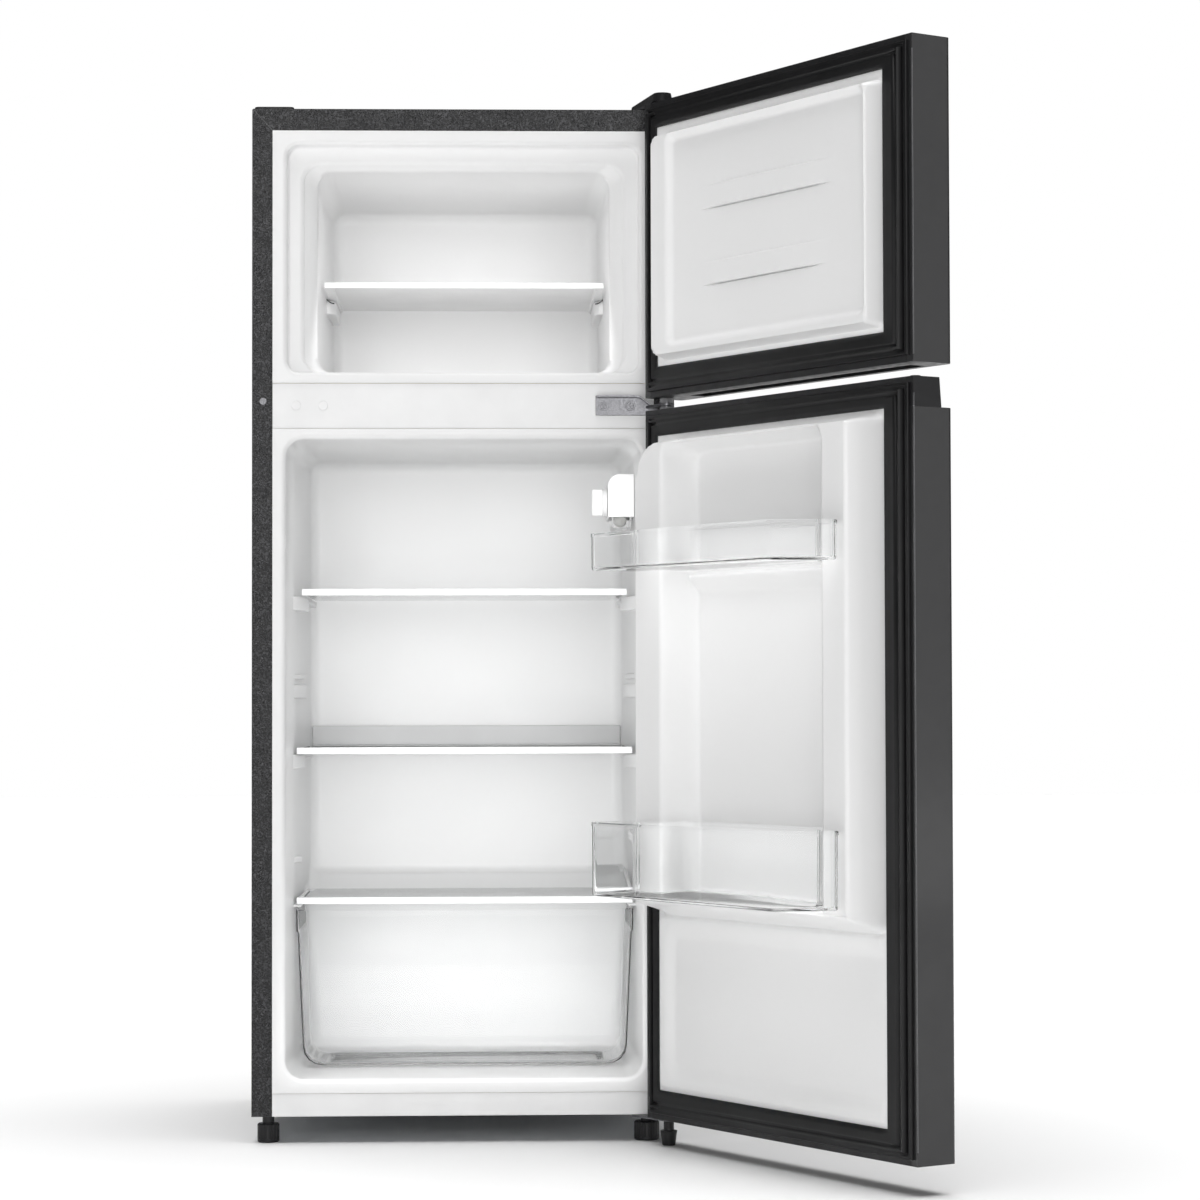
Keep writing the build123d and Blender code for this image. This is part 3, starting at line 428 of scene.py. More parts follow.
class Solid:
    """Points and faces gathered for one mesh, in millimetres of whichever axes place() takes."""

    def __init__(self, place=row):
        self.place = place
        self.points = []
        self.faces = []

    def add(self, points, faces):
        start = len(self.points)
        self.points += [self.place(*point) for point in points]
        self.faces += [[start + index for index in face] for face in faces]

    def rings(self, rings, close_first=False, close_last=True):
        """Faces between rings that have the same number of points."""
        count = len(rings[0])
        faces = []
        for layer in range(len(rings) - 1):
            for i in range(count):
                j = (i + 1) % count
                here, there = layer * count, (layer + 1) * count
                faces.append((here + i, here + j, there + j, there + i))
        if close_first:
            faces.append(tuple(reversed(range(count))))
        if close_last:
            faces.append(tuple(range(len(rings) * count - count, len(rings) * count)))
        self.add([point for ring in rings for point in ring], faces)

    def prism(self, outline, low, high):
        """An outline in the first two axes, pulled from low to high along the third."""
        self.rings([[(*point, level) for point in outline] for level in (low, high)], close_first=True)

    def bar(self, x0, x1, y0, y1, z0, z1):
        """A straight bar given by its limits."""
        self.prism([(x0, y0), (x1, y0), (x1, y1), (x0, y1)], z0, z1)

    def piece(self, name, node, slot, sharp_angle=35, closed=True, added=False):
        """The mesh, riding on a CAD node's body. It stands for that node, unless it is added to it."""
        mesh = bpy.data.meshes.new(name)
        mesh.from_pydata([tuple(point) for point in self.points], [], self.faces)
        mesh.validate()
        mesh.materials.append(MATERIALS[slot])
        if closed:
            face_outwards(mesh)
        smooth(mesh, sharp_angle)
        made = bpy.data.objects.new(name, mesh)
        bpy.context.scene.collection.objects.link(made)
        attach(made, BODY_OF[node])
        if not added:
            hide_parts(node)
        return made


ARC_STEPS = 7


def rounded_ring(left, right, low, high, radius):
    """Points round a rounded rectangle, the same number whatever its radius."""
    corners = [
        (right - radius, high - radius, 0),
        (left + radius, high - radius, 90),
        (left + radius, low + radius, 180),
        (right - radius, low + radius, 270),
    ]
    points = []
    for x, z, start in corners:
        for step in range(ARC_STEPS + 1):
            turn = math.radians(start + 90 * step / ARC_STEPS)
            points.append((x + radius * math.cos(turn), z + radius * math.sin(turn)))
    return points


def quarter(radius, steps=5):
    """A quarter round as pairs (left to go, gone), from its start to its end."""
    turns = [math.pi / 2 * step / steps for step in range(steps + 1)]
    return [(radius * (1 - math.sin(turn)), radius * (1 - math.cos(turn))) for turn in turns]


SHARP_CORNER = 0.6


class Mouth(NamedTuple):
    """A rounded rectangular section of a compartment."""

    half: float
    low: float
    high: float
    radius: float

    def grown(self, side, bottom=None):
        """The same section, larger by that much at its sides and top, and at its bottom."""
        bottom = side if bottom is None else bottom
        radius = max(SHARP_CORNER, self.radius + side)
        return Mouth(self.half + side, self.low - bottom, self.high + side, radius)

    def towards(self, other, share):
        """A section that share of the way to another."""
        return Mouth(*(here + (there - here) * share for here, there in zip(self, other)))

    def ring(self, depth):
        points = rounded_ring(-self.half, self.half, self.low, self.high, self.radius)
        return [(x, depth, z) for x, z in points]


def rolled_mouth(plate, mouth, radius):
    """Rings from a flat plate over a rounded lip into a mouth."""
    return [plate.ring(0.0)] + [mouth.grown(out).ring(gone) for out, gone in quarter(radius)]


# ---- cabinet liners ----
LINER = 1.5
LINER_SKIN = 1.4
FRIDGE_DEPTH = span("fridge_liner")[1].y - LINER
FRIDGE_FRONT_HALF = 209.6
FRIDGE_BACK_HALF = 202.0
FREEZER_LEDGE_TOP = span("freezer_shelf")[0].z - 0.6


def freezer_liner():
    """White freezer liner: face, shallow recess, funnel and box."""
    low, high = span("freezer_liner")
    floor, ceiling = 901.0, 1141.6
    plate = Mouth((high.x - low.x) / 2, low.z, high.z, SHARP_CORNER)
    recess = Mouth(208.3, 898.9, 1169.8, 16)
    mouth = Mouth(188.5, 900.0, 1147.8, 22)
    box = Mouth(174.3, floor, ceiling, 20)
    middle = Mouth(172.6, floor, ceiling, 20)
    back = Mouth(171.0, floor, ceiling, 20)
    turn, back_turn = 5.0, 16
    recess_depth, funnel_depth, box_depth, middle_depth = 16.0, 33.0, 35.0, 200
    back_depth = high.y - LINER
    rings = rolled_mouth(plate, recess, 4.0)
    for left, gone in quarter(turn):
        rings.append(recess.grown(-gone, -gone * 0.06).ring(recess_depth - left))
    for left, gone in quarter(turn):
        rings.append(mouth.grown(left, left * 0.05).ring(recess_depth + gone))
    mouth_depth = recess_depth + turn
    for share in (0.35, 0.7):
        rings.append(mouth.towards(box, share).ring(mouth_depth + (funnel_depth - mouth_depth) * share))
    rings.append(box.ring(box_depth))
    rings.append(middle.ring(middle_depth))
    for left, gone in quarter(back_turn, 6):
        rings.append(back.grown(-gone).ring(back_depth - left))
    shell = Solid()
    shell.rings(rings)
    made = shell.piece("freezer_compartment_liner", "freezer_liner", "white_liner", closed=False)
    thicken(made, LINER_SKIN, 1)
    return made


def wall_x(y):
    """Half width of the fresh food compartment at depth y."""
    return FRIDGE_FRONT_HALF - (FRIDGE_FRONT_HALF - FRIDGE_BACK_HALF) * y / FRIDGE_DEPTH


def fridge_liner():
    """White fresh food liner: face, box, and the raised step over the compressor recess."""
    low, high = span("fridge_liner")
    plate = Mouth((high.x - low.x) / 2, low.z, high.z, SHARP_CORNER)
    floor, ceiling = 73.5, 822.9
    step_y, step_top, step_draft = 290.0, 270.5, 3.0
    slope_y, slope_foot, slope_top = 350.0, 272.0, 301.0
    back_turn = 16.0

    def section(depth, bottom, radius=20.0):
        return Mouth(wall_x(depth), bottom, ceiling, radius)

    rings = rolled_mouth(plate, section(0, floor, 22.0), 4.5)
    for depth in (20, 120, 220):
        rings.append(section(depth, floor).ring(depth))
    for left, gone in quarter(14.0):
        depth = step_y - step_draft - left
        rings.append(section(depth, floor + gone).ring(depth))
    for left, gone in quarter(8.0):
        rings.append(section(step_y + gone, step_top - left, 16).ring(step_y + gone))
    rings.append(section(slope_y - 12, step_top, 16).ring(slope_y - 12))
    rings.append(section(slope_y, slope_foot, 16).ring(slope_y))
    rise = (slope_top - step_top) / (FRIDGE_DEPTH - slope_y)
    for left, gone in quarter(back_turn, 6):
        depth = FRIDGE_DEPTH - left
        bottom = slope_foot + rise * (min(depth, FRIDGE_DEPTH - back_turn) - slope_y)
        rings.append(section(depth, bottom, 18).grown(-gone, -gone * 0.8).ring(depth))
    shell = Solid()
    shell.rings(rings)
    made = shell.piece("fridge_compartment_liner", "fridge_liner", "white_liner", closed=False)
    thicken(made, LINER_SKIN, 1)
    return made


def freezer_ledges(solid):
    """Moulded ledges that the freezer's shelf slides on, round at the front."""
    outline = [(174.6, 212), (166.0, 214), (161.5, 221), (160.0, 232), (160.0, 336), (172.5, 350)]
    for side in (-1, 1):
        solid.prism([(side * x, y) for x, y in outline], FREEZER_LEDGE_TOP - 17, FREEZER_LEDGE_TOP)


def side_rail(solid, side, top, height, reach, start, stop, lead=5):
    """A ledge on one side wall, wedge shaped in plan, that a shelf slides on."""
    outline = [
        (wall_x(start) + 0.8, start), (reach, start + lead),
        (reach, stop - 8), (wall_x(stop) + 0.8, stop),
    ]
    solid.prism([(side * x, y) for x, y in outline], top - height, top)


def wall_fittings():
    """Shelf ledges, spare ledges and small stops moulded on the compartments' side walls."""
    fittings = Solid()
    freezer_ledges(fittings)
    for side in (-1, 1):
        for node, reach in (("upper_shelf_trim", 191), ("lower_shelf_trim", 195)):
            top = span(node)[0].z - 0.5
            side_rail(fittings, side, top, 17.0, reach, 104, 200, 44)
            side_rail(fittings, side, top, 7.0, reach, 170, 360)
        side_rail(fittings, side, span("crisper_cover_trim")[0].z - 0.5, 3.7, 197, 118, 285)
        side_rail(fittings, side, 548.0, 7.0, 198, 120, 240, 50)
        side_rail(fittings, side, 535.0, 17.0, 196, 110, 240, 50)
        side_rail(fittings, side, 327.0, 8.0, 198, 118, 175, 30)
    made = fittings.piece("liner_ledges", "fridge_liner", "white_liner")
    soften(made, 2.2, 3)
    return made


def ledge_gap_shadows():
    """Dark curved strips in the gaps between the freezer shelf's end and the front of its ledges: painted shadow.
    """
    front, back, width = 211.2, 213.6, 1.3
    shadow_strips = Solid()
    for side in (-1, 1):
        ribbon = []
        for share in (0.0, 0.3, 0.6, 1.0):
            x = side * (161.5 + 9.5 * share)
            z = FREEZER_LEDGE_TOP - 5.0 + 5.0 * share * share
            ribbon.append([(x, front, z), (x, back, z), (x, back, z + width), (x, front, z + width)])
        shadow_strips.rings(ribbon, close_first=True)
    # Dark rubber in these gaps stands in for their shade: a painted shadow.
    return shadow_strips.piece("freezer_ledge_gap_shadows", "freezer_liner", "gasket_rubber", added=True)


def pane_end_seals(name, node):
    """Thin dark strips along the two ends of a glass pane."""
    low, high = span(node)
    width = 2.0
    strips = Solid()
    for left, right in ((low.x, low.x + width), (high.x - width, high.x)):
        strips.bar(left, right, low.y + 2, high.y - 60, high.z - 0.4, high.z + 1.0)
    made = strips.piece(name, node, "gasket_rubber", added=True)
    soften(made, 0.3, 2)
    return made


# ---- doors: inner panels ----
SHEET = 2.0
FINE_OFFSETS = (-3.0, -2.0, -1.2, -0.6, 0.0, 0.6, 1.2, 2.0, 3.0)
CLEARED = 3.6


def ramp(start, stop, value):
    """A smooth rise from 0 at start to 1 at stop."""
    share = min(1.0, max(0.0, (value - start) / (stop - start)))
    return share * share * (3 - 2 * share)


def rounded_distance(u, z, left, right, low, high, radius, right_radius=None):
    """How far a point is inside a rounded rectangle; negative outside."""
    if right_radius is not None and u > (left + right) / 2:
        radius = right_radius
    du = abs(u - (left + right) / 2) - (right - left) / 2 + radius
    dz = abs(z - (low + high) / 2) - (high - low) / 2 + radius
    outside = math.hypot(max(du, 0), max(dz, 0))
    return radius - outside - min(max(du, dz), 0)


def grid_lines(start, stop, step, fine):
    """Values from start to stop, closer together round the places listed as fine."""
    count = round((stop - start) / step)
    values = [start + (stop - start) * i / count for i in range(count)] + [stop]
    for place in fine:
        values = [value for value in values if abs(value - place) > CLEARED]
        values += [place + offset for offset in FINE_OFFSETS]
    return sorted(values)


def panel(name, node, height, step, fine_levels=()):
    """A formed sheet over a door's inner plane: height(u, z) gives how far it stands out."""
    low, high = closed_span(node)
    across = grid_lines(HALF - high.x, HALF - low.x, step, ())
    upwards = grid_lines(low.z, high.z, step, fine_levels)
    width = len(across)
    sheet = Solid(door)
    faces = [
        (j * width + i, j * width + i + 1, (j + 1) * width + i + 1, (j + 1) * width + i)
        for j in range(len(upwards) - 1) for i in range(width - 1)
    ]
    sheet.add([(u, height(u, z), z) for z in upwards for u in across], faces)
    made = sheet.piece(name, node, "white_liner", sharp_angle=60, closed=False)
    thicken(made, 1.2, -1)
    return made


def freezer_door_liner():
    """Inner panel of the freezer door: a raised border round a shallower middle with two ribs."""
    border, dip, rib_rise, groove_depth = 20, 8, 2.4, 5.0
    # (bottom, top, start, stop) of each rib
    ribs = ((1069.5, 1095.0, 127, 383), (983.0, 1008.0, 127, 370))

    def height(u, z):
        field = rounded_distance(u, z, 38, 448, 905.5, 1169.5, 16, 10)
        middle = rounded_distance(u, z, 72, 440, 919, 1164, 12)
        out = SHEET + border * ramp(0, 6.5, field) - dip * ramp(0, 8, middle)
        for bottom, top, start, stop in ribs:
            fade = ramp(start, start + 60, u) * ramp(stop, stop - 60, u)
            rise = ramp(bottom - 0.5, bottom + 0.5, z) * ramp(top + 0.9, top - 0.9, z)
            groove = max(0.0, 1 - abs(z - bottom + 0.6) / 0.7)
            out += (rib_rise * rise - groove_depth * groove) * fade
        return out

    edges = [edge for rib in ribs for edge in rib[:2]]
    return panel("freezer_door_panel", "freezer_door_liner", height, 2.6, edges)


def fridge_door_liner():
    """Inner panel of the fridge door: a raised frame with ledges for the bins, and a dished pad below."""
    foot, head = 268.0, 816.0
    column_height, pad_height, dish_depth = 45, 4.4, 4.0
    # (foot, crest, head, how far it stands out) of each ledge
    bin_ledges = ((268.0, 288.0, 295.0, 45.0), (634.0, 654.5, 660.5, 12.0))

    def height(u, z):
        field = ramp(0, 10, rounded_distance(u, z, 38, 448, foot - 80, head, 52, 12))
        between = ramp(0, 16, rounded_distance(u, z, 96, 398, foot - 100, 812, 26))
        columns = column_height * field * (1 - between) * ramp(foot, foot + 24, z)
        ledges = 0.0
        for start, crest, stop, out in bin_ledges:
            ledges = max(ledges, out * ramp(start, crest, z) * ramp(stop, crest + 0.5, z) * field)
        pad = pad_height * ramp(0, 4, rounded_distance(u, z, 31, 447.5, 69, 270, 8))
        dish = dish_depth * ramp(0, 20, rounded_distance(u, z, 44, 470, 80, 262, 28))
        return SHEET + max(columns, ledges, pad - dish)

    return panel("fridge_door_panel", "fridge_door_liner", height, 2.8, (291.0, 657.0))


# ---- doors: gaskets ----
# (distance in from the free side's outer edge, height up the sides, height along the ends)
GASKET_PROFILE = [
    (0.0, 0.1, 0.1), (0.0, 2.4, 2.4), (0.8, 3.4, 3.4), (4.0, 3.8, 3.8), (5.5, 2.8, 4.0), (6.0, 0.9, 4.1),
    (9.0, 0.9, 4.2), (10.0, 4.6, 4.4), (11.5, 6.6, 4.5), (13.5, 6.8, 4.6), (15.0, 5.0, 4.6),
    (16.0, 0.9, 4.6), (19.0, 0.9, 4.6), (20.0, 3.8, 4.6), (22.0, 5.0, 4.6), (24.0, 4.7, 4.6),
    (31.0, 4.4, 4.4), (37.5, 4.2, 4.1), (39.5, 3.4, 3.3), (40.5, 2.6, 2.6), (40.5, 0.1, 0.1),
]
HINGE_SEAL = 20.5
FREE_SEAL = 40.5
BOTTOM_SEAL = 27.5
TOP_SEAL = 24.0
CORNER_RUN = 14.0


def gasket(name, node):
    """A door seal mitred at its corners, whose side grooves fade out along its ends."""
    low, high = closed_span(node)
    u0, u1 = HALF - high.x, HALF - low.x
    rings = []
    for distance, side_w, end_w in GASKET_PROFILE:
        share = distance / FREE_SEAL
        left, right = u0 + share * HINGE_SEAL, u1 - distance
        bottom, top = low.z + share * BOTTOM_SEAL, high.z - share * TOP_SEAL
        ring = []
        for z, ends in ((top, (right, left)), (bottom, (left, right))):
            inwards = math.copysign(CORNER_RUN, ends[1] - ends[0])
            ring += [(ends[0], side_w, z), (ends[0] + inwards, end_w, z),
                     (ends[1] - inwards, end_w, z), (ends[1], side_w, z)]
        rings.append(ring)
    seal = Solid(door)
    seal.rings(rings, close_last=False)
    made = seal.piece(name, node, "gasket_rubber", sharp_angle=42, closed=False)
    made.data.flip_normals()
    return made


# ---- door bins and the drawer ----
def moved_edges(points, inset):
    """An outline with each edge moved inwards by that much."""
    area = sum(a[0] * b[1] - b[0] * a[1] for a, b in zip(points, points[1:] + points[:1]))
    sign = 1 if area > 0 else -1
    made = []
    for before, here, after in zip(points[-1:] + points[:-1], points, points[1:] + points[:1]):
        first = Vector((here[0] - before[0], here[1] - before[1])).normalized()
        second = Vector((after[0] - here[0], after[1] - here[1])).normalized()
        normal_1 = Vector((-first.y, first.x)) * sign
        normal_2 = Vector((-second.y, second.x)) * sign
        bisector = normal_1 + normal_2
        shift = bisector * (2 * inset / bisector.length_squared)
        made.append((here[0] + shift.x, here[1] + shift.y))
    return made


def rounded_outline(points, radius, steps=5):
    """An outline with its corners cut back to smooth curves."""
    made = []
    for before, here, after in zip(points[-1:] + points[:-1], points, points[1:] + points[:1]):
        corner = Vector(here)
        back = Vector(before) - corner
        forth = Vector(after) - corner
        reach = min(radius, back.length * 0.45, forth.length * 0.45)
        start, stop = corner + back.normalized() * reach, corner + forth.normalized() * reach
        for step in range(steps + 1):
            t = step / steps
            point = start * (1 - t) ** 2 + corner * (2 * t * (1 - t)) + stop * t ** 2
            made.append((point.x, point.y))
    return made


BIN_OUTLINE = [(104, 14), (396, 14), (396, 52), (436, 52), (401, 118), (59, 118), (59, 52), (104, 52)]
BIN_RADIUS = 7.0


def bin_ring(inset, z):
    """The bin's outline at one height."""
    return [(u, w, z) for u, w in rounded_outline(moved_edges(BIN_OUTLINE, inset), BIN_RADIUS)]


def door_bin(name, node):
    """Clear tray with a rim and a rounded thick foot."""
    low, high = closed_span(node)
    z0, z1 = low.z, high.z
    # (inset, height), from under the floor, up the outside and down the inside
    levels = [
        (5.0, z0), (2.2, z0), (0.9, z0 + 0.9), (0.6, z0 + 3.0), (0.5, z1 - 4.5), (0.0, z1 - 4.0),
        (0.0, z1 - 0.6), (0.5, z1), (2.0, z1), (2.4, z1 - 0.8), (2.6, z0 + 6.0), (3.4, z0 + 3.4),
        (5.2, z0 + 2.4), (8.0, z0 + 2.2),
    ]
    tray = Solid(door)
    tray.rings([bin_ring(inset, z) for inset, z in levels], close_first=True)
    return tray.piece(name, node, "clear_plastic", sharp_angle=40)


def bin_clips(name, node):
    """Upright clips at a bin's two ends, where it hangs on the panel's columns."""
    low, high = closed_span(node)
    clips = Solid(door)
    for u0, u1 in ((61.2, 66.5), (428.5, 432.5)):
        clips.bar(u0, u1, 54.4, 56.4, low.z + 2.6, high.z - 1.2)
    for u0, u1 in ((61.2, 63.2), (430.5, 432.5)):
        clips.bar(u0, u1, 56.4, 61.0, low.z + 2.6, high.z - 1.2)
    made = clips.piece(name, node, "clear_plastic")
    soften(made, 0.5, 2)
    return made


def crisper_drawer():
    """Clear drawer: sloping walls, a stepped rim, round lower edges and ribs on its floor."""
    low, high = span("crisper_drawer")
    bottom, step, rim = low.z, 237.6, high.z
    front, back = low.y, high.y

    def ring(half, y0, y1, radius, z):
        """The drawer's section at one height."""
        return [(x, y, z) for x, y in rounded_ring(-half, half, y0, y1, radius)]

    rings = [ring(160, 142, 236, 6, bottom + 1.6), ring(164, 138, 240, 8, bottom)]
    for inset, rise in ((24, 0.0), (14.8, 1.8), (7, 7), (1.8, 14.8), (0, 24)):
        rings.append(ring(195 - inset, 107 + inset, 271 - inset, 16 - inset * 0.3, bottom + rise))
    rings += [
        ring(201, 101, 279, 16, step - 1.2),
        ring(202.2, 100.2, 280.6, 16, step + 0.6),
        ring(202.4, 100, 281, 16, step + 2),
        ring(202.6, front + 0.2, back - 0.2, 16, rim - 2),
        ring(202.8, front, back, 16, rim - 0.8),
        ring(202.0, front + 0.8, back - 0.8, 15, rim),
        ring(201.0, front + 1.8, back - 1.8, 14, rim),
        ring(200.2, front + 2.6, back - 2.6, 14, rim - 1),
        ring(200.0, 102.6, 278.6, 14, step + 2),
        ring(198.4, 103.6, 276.6, 14, step - 1.2),
    ]
    for inset, rise in ((0, 25), (1.6, 17), (6.5, 9.5), (14.4, 4.2), (24, 2.4)):
        rings.append(ring(192.6 - inset, 109.6 + inset, 268.6 - inset, 14 - inset * 0.3, bottom + rise))
    tray = Solid()
    tray.rings(rings, close_first=True)
    rib_half, rib_pitch = 1.0, 20
    for rib in range(6):
        y = 140 + rib_pitch * rib
        tray.bar(-165, 165, y - rib_half, y + rib_half, bottom + 2.7, bottom + 3.7)
    return tray.piece("crisper_tray", "crisper_drawer", "clear_plastic", sharp_angle=40)


# ---- hinges ----
def middle_hinge():
    """Zinc bracket: a screwed plate, a lip bent forward along its top, and the arm to the pins."""
    x0, z0, z1 = span("middle_hinge")[0].x, 849.4, 872.8
    end = 228.0
    pin_x = (PIN.x - CENTRE_X) / MM
    pin_y = (PIN.y - FRONT_Y) / MM
    arm_top = 860.6
    arm = 3.0
    lip = 2.4
    bracket = Solid()

    slope = [(203.0, z1), (207.5, z1 - 1.0), (220.5, z1 - 11.2), (224.0, arm_top)]
    outline = [(x0, z0), (end, z0), (end, arm_top - arm), *reversed(slope), (x0, z1)]
    bracket.rings([[(x, y, z) for x, z in outline] for y in (-2.45, -0.1)], close_first=True)

    ribbon = []
    for (x, z), y in zip([(x0 + 1.8, z1), *slope, (end, arm_top)], (-8.0, -8.0, -8.0, -9.4, -14.0, -18.0)):
        ribbon.append([(x, y, z), (x, -1.0, z), (x, -1.0, z - lip), (x, y, z - lip)])
    bracket.rings(ribbon, close_first=True)

    tongue = [(214, -2.4), (231, -2.4)]
    for step in range(13):
        turn = math.radians(-5 - 170 * step / 12)
        tongue.append((pin_x + 9 * math.cos(turn), pin_y + 9 * math.sin(turn)))
    bracket.prism(tongue, arm_top - arm, arm_top)

    pins = (4.0, 840.2, 877.8, 24)
    washer = (7.4, arm_top, arm_top + 1.4, 24)
    nut = (6.6, arm_top + 1.4, arm_top + 5.0, 6)
    collar = (6.8, arm_top - 5.2, arm_top - arm, 24)
    for radius, bottom, top, sides in (pins, washer, nut, collar):
        turns = [math.tau * side / sides for side in range(sides)]
        outline = [(pin_x + radius * math.cos(turn), pin_y + radius * math.sin(turn)) for turn in turns]
        bracket.prism(outline, bottom, top)
    made = bracket.piece("middle_hinge_bracket", "middle_hinge", "zinc_steel", sharp_angle=30)
    soften(made, 0.35, 2)
    return made


# ---- fine lines on the steel: raised seams, and painted highlights along the door hems ----
def mitre_seams():
    """Thin raised joints where the flange's corners meet at 45 degrees."""
    seams = Solid()
    half_width = 0.45
    for side in (-1, 1):
        outer = Vector((side * (HALF - 2.0), CASE_TOP - 1.4))
        inner = Vector((side * (HALF - 23.8), CASE_TOP - 25.6))
        along = (inner - outer).normalized()
        across = Vector((-along.y, along.x)) * half_width
        corners = [outer + across, inner + across, inner - across, outer - across]
        seams.rings([[(x, y, z) for x, z in corners] for y in (-0.02, 0.3)], close_first=True)
    return seams.piece("flange_seams", "outer_wrapper", "door_steel", added=True)


def hem_highlight(name, node, z0, z1):
    """The rolled edge of a door's skin, where its free side folds in, as a light grey bead: a painted highlight on
    the dark fold.
    """
    edge = HALF - closed_span(node)[0].x
    radius = 0.72
    turns = [math.radians(degrees) for degrees in range(-30, 121, 15)]
    section = [(edge - 0.7 + radius * math.cos(turn), -0.7 + radius * math.sin(turn)) for turn in turns]
    section += [(edge - 2.4, -0.3), (edge - 1.2, -1.6)]
    bead = Solid(door)
    bead.rings([[(u, w, z) for u, w in section] for z in (z0, z1)], close_first=True)
    # The light grey plastic paints the highlight that the dark steel's fold catches.
    return bead.piece(name, node, "grey_plastic", added=True)


# ---- CAD nodes that keep their shape ----
SLOT_NODES = {
    "stucco_steel": ["outer_wrapper"],
    "door_steel": ["freezer_door_skin", "fridge_door_skin"],
    "galvanised_steel": ["rear_panel", "base_pan", "recess_panel", "compressor_plate"],
    "zinc_steel": ["top_hinge", "bottom_hinge", "hinge_screws", "flange_screw"],
    "foam": ["foam_insulation", "freezer_door_foam", "fridge_door_foam"],
    "white_plastic": ["divider_rail", "divider_plugs", "toe_rail", "freezer_shelf", "control_box",
                      "thermostat_knob"],
    "black_plastic": ["top_hinge_cover", "spare_hinge_cover", "door_hole_plug", "freezer_door_top_cap",
                      "freezer_door_bottom_cap", "fridge_door_top_cap", "fridge_door_bottom_cap",
                      "relay_cover", "water_tray", "front_foot_left", "front_foot_right", "hinge_foot",
                      "rear_feet"],
    "grey_plastic": ["freezer_door_bushes", "fridge_door_bushes"],
    "gasket_rubber": ["compressor_grommets", "cord_gland"],
    "clear_plastic": ["lamp_lens"],
    "shelf_trim_plastic": ["upper_shelf_trim", "lower_shelf_trim", "crisper_cover_trim"],
    "shelf_glass": ["upper_shelf_glass", "lower_shelf_glass", "crisper_cover_glass"],
    "bulb_glass": ["lamp_bulb"],
    "compressor_paint": ["compressor"],
    "copper": ["refrigerant_tubes", "filter_drier"],
    "aluminium": ["freezer_evaporator", "fridge_evaporator"],
}
EDGE_WIDTHS = {
    "control_box": 1.6, "thermostat_knob": 0.8, "freezer_shelf": 0.9, "top_hinge_cover": 1.5,
    "spare_hinge_cover": 0.8, "fridge_door_top_cap": 1.4, "upper_shelf_trim": 1.0,
    "lower_shelf_trim": 1.0, "crisper_cover_trim": 1.0, "divider_plugs": 0.6, "outer_wrapper": 0.5,
}
PLAIN_EDGE = 0.3
UNROUNDED = (
    "foam_insulation", "freezer_door_foam", "fridge_door_foam", "refrigerant_tubes", "lamp_bulb",
)
SAME_PLACE = 0.01  # millimetres


def keep_node(node, slot):
    """Give a CAD node its material, smooth shading and lightly rounded edges."""
    kept = NODES[node]
    kept.data.materials.clear()
    kept.data.materials.append(MATERIALS[slot])
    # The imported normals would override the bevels' shading.
    if "custom_normal" in kept.data.attributes:
        kept.data.attributes.remove(kept.data.attributes["custom_normal"])
    kept.data.shade_smooth()
    # Joined triangles make clean flat faces, which the bevel can round.
    weld = kept.modifiers.new("weld", "WELD")
    weld.merge_threshold = SAME_PLACE * MM
    flat = kept.modifiers.new("flat", "DECIMATE")
    flat.decimate_type = "DISSOLVE"
    flat.angle_limit = math.radians(0.5)
    if node not in UNROUNDED:
        soften(kept, EDGE_WIDTHS.get(node, PLAIN_EDGE), 2)


# ---- stage, light and camera ----
def floor():
    """A plain pale floor."""
    size = 14.0
    mesh = bpy.data.meshes.new("floor")
    corners = [(-size, -size, 0), (size, -size, 0), (size, size, 0), (-size, size, 0)]
    mesh.from_pydata(corners, [], [(0, 1, 2, 3)])
    ground = bpy.data.objects.new("floor", mesh)
    bpy.context.scene.collection.objects.link(ground)
    paint = Paint("floor", (0.93, 0.93, 0.93), 0.6)
    paint.tint(paint.noise(1.5), 0.99, 1.01)
    paint.bump(paint.noise(200), 0.05, 0.3)
    mesh.materials.append(paint.material)


MOUTH_SPREAD = 115
OPEN_SPREAD = 180


def softbox(name, place, aim, width, height, watts, spread=OPEN_SPREAD):
    """A rectangular lamp pointed at a place."""
    lamp = bpy.data.lights.new(name, "AREA")
    lamp.shape = "RECTANGLE"
    lamp.size = width
    lamp.size_y = height
    lamp.energy = watts
    lamp.spread = math.radians(spread)
    made = bpy.data.objects.new(name, lamp)
    made.location = place
    made.rotation_euler = (Vector(aim) - Vector(place)).to_track_quat("-Z", "Y").to_euler()
    bpy.context.scene.collection.objects.link(made)


def mouth_lamp(name, across, upwards, depth, drop, watts):
    """A lamp filling a compartment's mouth and shining only inwards, down by drop for each metre in."""
    centre = row(sum(across) / 2, depth, sum(upwards) / 2)
    inside = centre + Vector((0, 1, -drop))
    width, height = (across[1] - across[0]) * MM, (upwards[1] - upwards[0]) * MM
    softbox(name, centre, inside, width, height, watts, MOUTH_SPREAD)


def far_lamp(name, strength, angle, tilt):
    """Even light from far away, tilted forward from straight down, with very soft shadows."""
    lamp = bpy.data.lights.new(name, "SUN")
    lamp.energy = strength
    lamp.angle = math.radians(angle)
    made = bpy.data.objects.new(name, lamp)
    made.location = (0, 0, 4)
    made.rotation_euler = (math.radians(tilt), 0, 0)
    bpy.context.scene.collection.objects.link(made)


CAMERA_PLACE = (36.0, -3836.5, 513.2)
CAMERA_YAW = math.radians(1.848)
CAMERA_PITCH = math.radians(1.781)
CAMERA_ROLL = math.radians(-0.139)


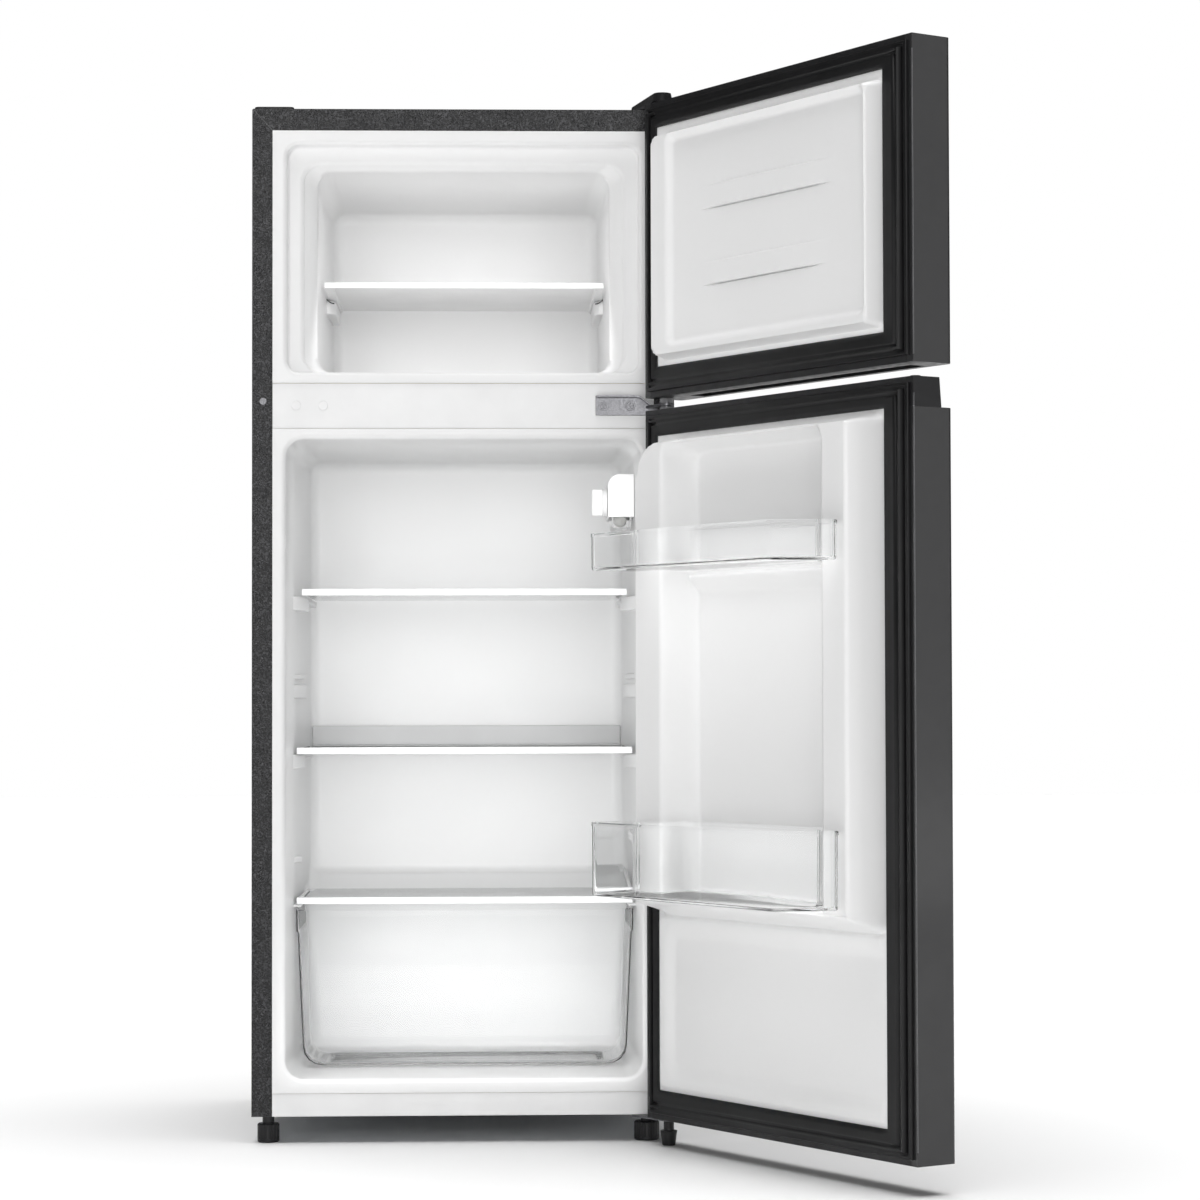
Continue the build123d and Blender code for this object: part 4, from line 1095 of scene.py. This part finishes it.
def camera():
    """The camera in front of the cabinet, at less than half its height, turned a little right and up."""
    lens = bpy.data.cameras.new("camera")
    lens.lens = 98.208
    lens.sensor_width = 36.0
    lens.clip_start = 0.05
    lens.clip_end = 60.0
    made = bpy.data.objects.new("camera", lens)
    heading = Matrix.Rotation(-CAMERA_YAW, 4, "Z")
    upright = Matrix.Rotation(math.pi / 2 + CAMERA_PITCH, 4, "X")
    turn = heading @ upright @ Matrix.Rotation(CAMERA_ROLL, 4, "Z")
    made.matrix_world = Matrix.Translation(row(*CAMERA_PLACE)) @ turn
    bpy.context.scene.collection.objects.link(made)
    bpy.context.scene.camera = made


def daylight():
    """Surroundings that look white, straight or through glass, and light the object only faintly."""
    world = bpy.data.worlds.new("studio")
    world.use_nodes = True
    tree = world.node_tree
    soft_light = tree.nodes["Background"]
    soft_light.inputs["Color"].default_value = (1, 1, 1, 1)
    soft_light.inputs["Strength"].default_value = 0.12
    backdrop = tree.nodes.new("ShaderNodeBackground")
    backdrop.inputs["Color"].default_value = (1, 1, 1, 1)
    rays = tree.nodes.new("ShaderNodeLightPath")
    mix = tree.nodes.new("ShaderNodeMixShader")
    seen = tree.nodes.new("ShaderNodeMath")
    seen.operation = "MAXIMUM"
    tree.links.new(rays.outputs["Is Camera Ray"], seen.inputs[0])
    tree.links.new(rays.outputs["Is Transmission Ray"], seen.inputs[1])
    tree.links.new(seen.outputs["Value"], mix.inputs[0])
    tree.links.new(soft_light.outputs["Background"], mix.inputs[1])
    tree.links.new(backdrop.outputs["Background"], mix.inputs[2])
    tree.links.new(mix.outputs["Shader"], tree.nodes["World Output"].inputs["Surface"])
    bpy.context.scene.world = world
    bpy.context.scene.view_settings.view_transform = "Standard"


# ---- everything together ----
for slot_name, node_names in SLOT_NODES.items():
    for node_name in node_names:
        keep_node(node_name, slot_name)

freezer_liner()
fridge_liner()
wall_fittings()
ledge_gap_shadows()
pane_end_seals("lower_shelf_seals", "lower_shelf_glass")
pane_end_seals("crisper_cover_seals", "crisper_cover_glass")
freezer_door_liner()
fridge_door_liner()
gasket("freezer_door_seal", "freezer_door_gasket")
gasket("fridge_door_seal", "fridge_door_gasket")
door_bin("upper_bin_tray", "upper_door_bin")
door_bin("lower_bin_tray", "lower_door_bin")
bin_clips("upper_bin_clips", "upper_door_bin")
bin_clips("lower_bin_clips", "lower_door_bin")
crisper_drawer()
middle_hinge()
mitre_seams()
hem_highlight("freezer_door_hem_highlight", "freezer_door_skin", 874.0, 1194.0)
hem_highlight("fridge_door_hem_highlight", "fridge_door_skin", 47.0, 834.0)

floor()
far_lamp("front", 0.84, 34, 84)
far_lamp("overhead", 3.5, 60, 0)
softbox("left", (-3.0, -2.6, 1.1), (0.1, -0.1, 0.65), 0.12, 2.2, 4)
softbox("right", (3.0, -1.6, 1.2), (0.3, -0.2, 0.7), 0.8, 2.2, 6)
mouth_lamp("freezer_light", (-170, 170), (905, 1136), 37, 0.3, 0.27)
mouth_lamp("fridge_light", (-202, 202), (82, 815), 5, 0.12, 0.74)
daylight()
camera()
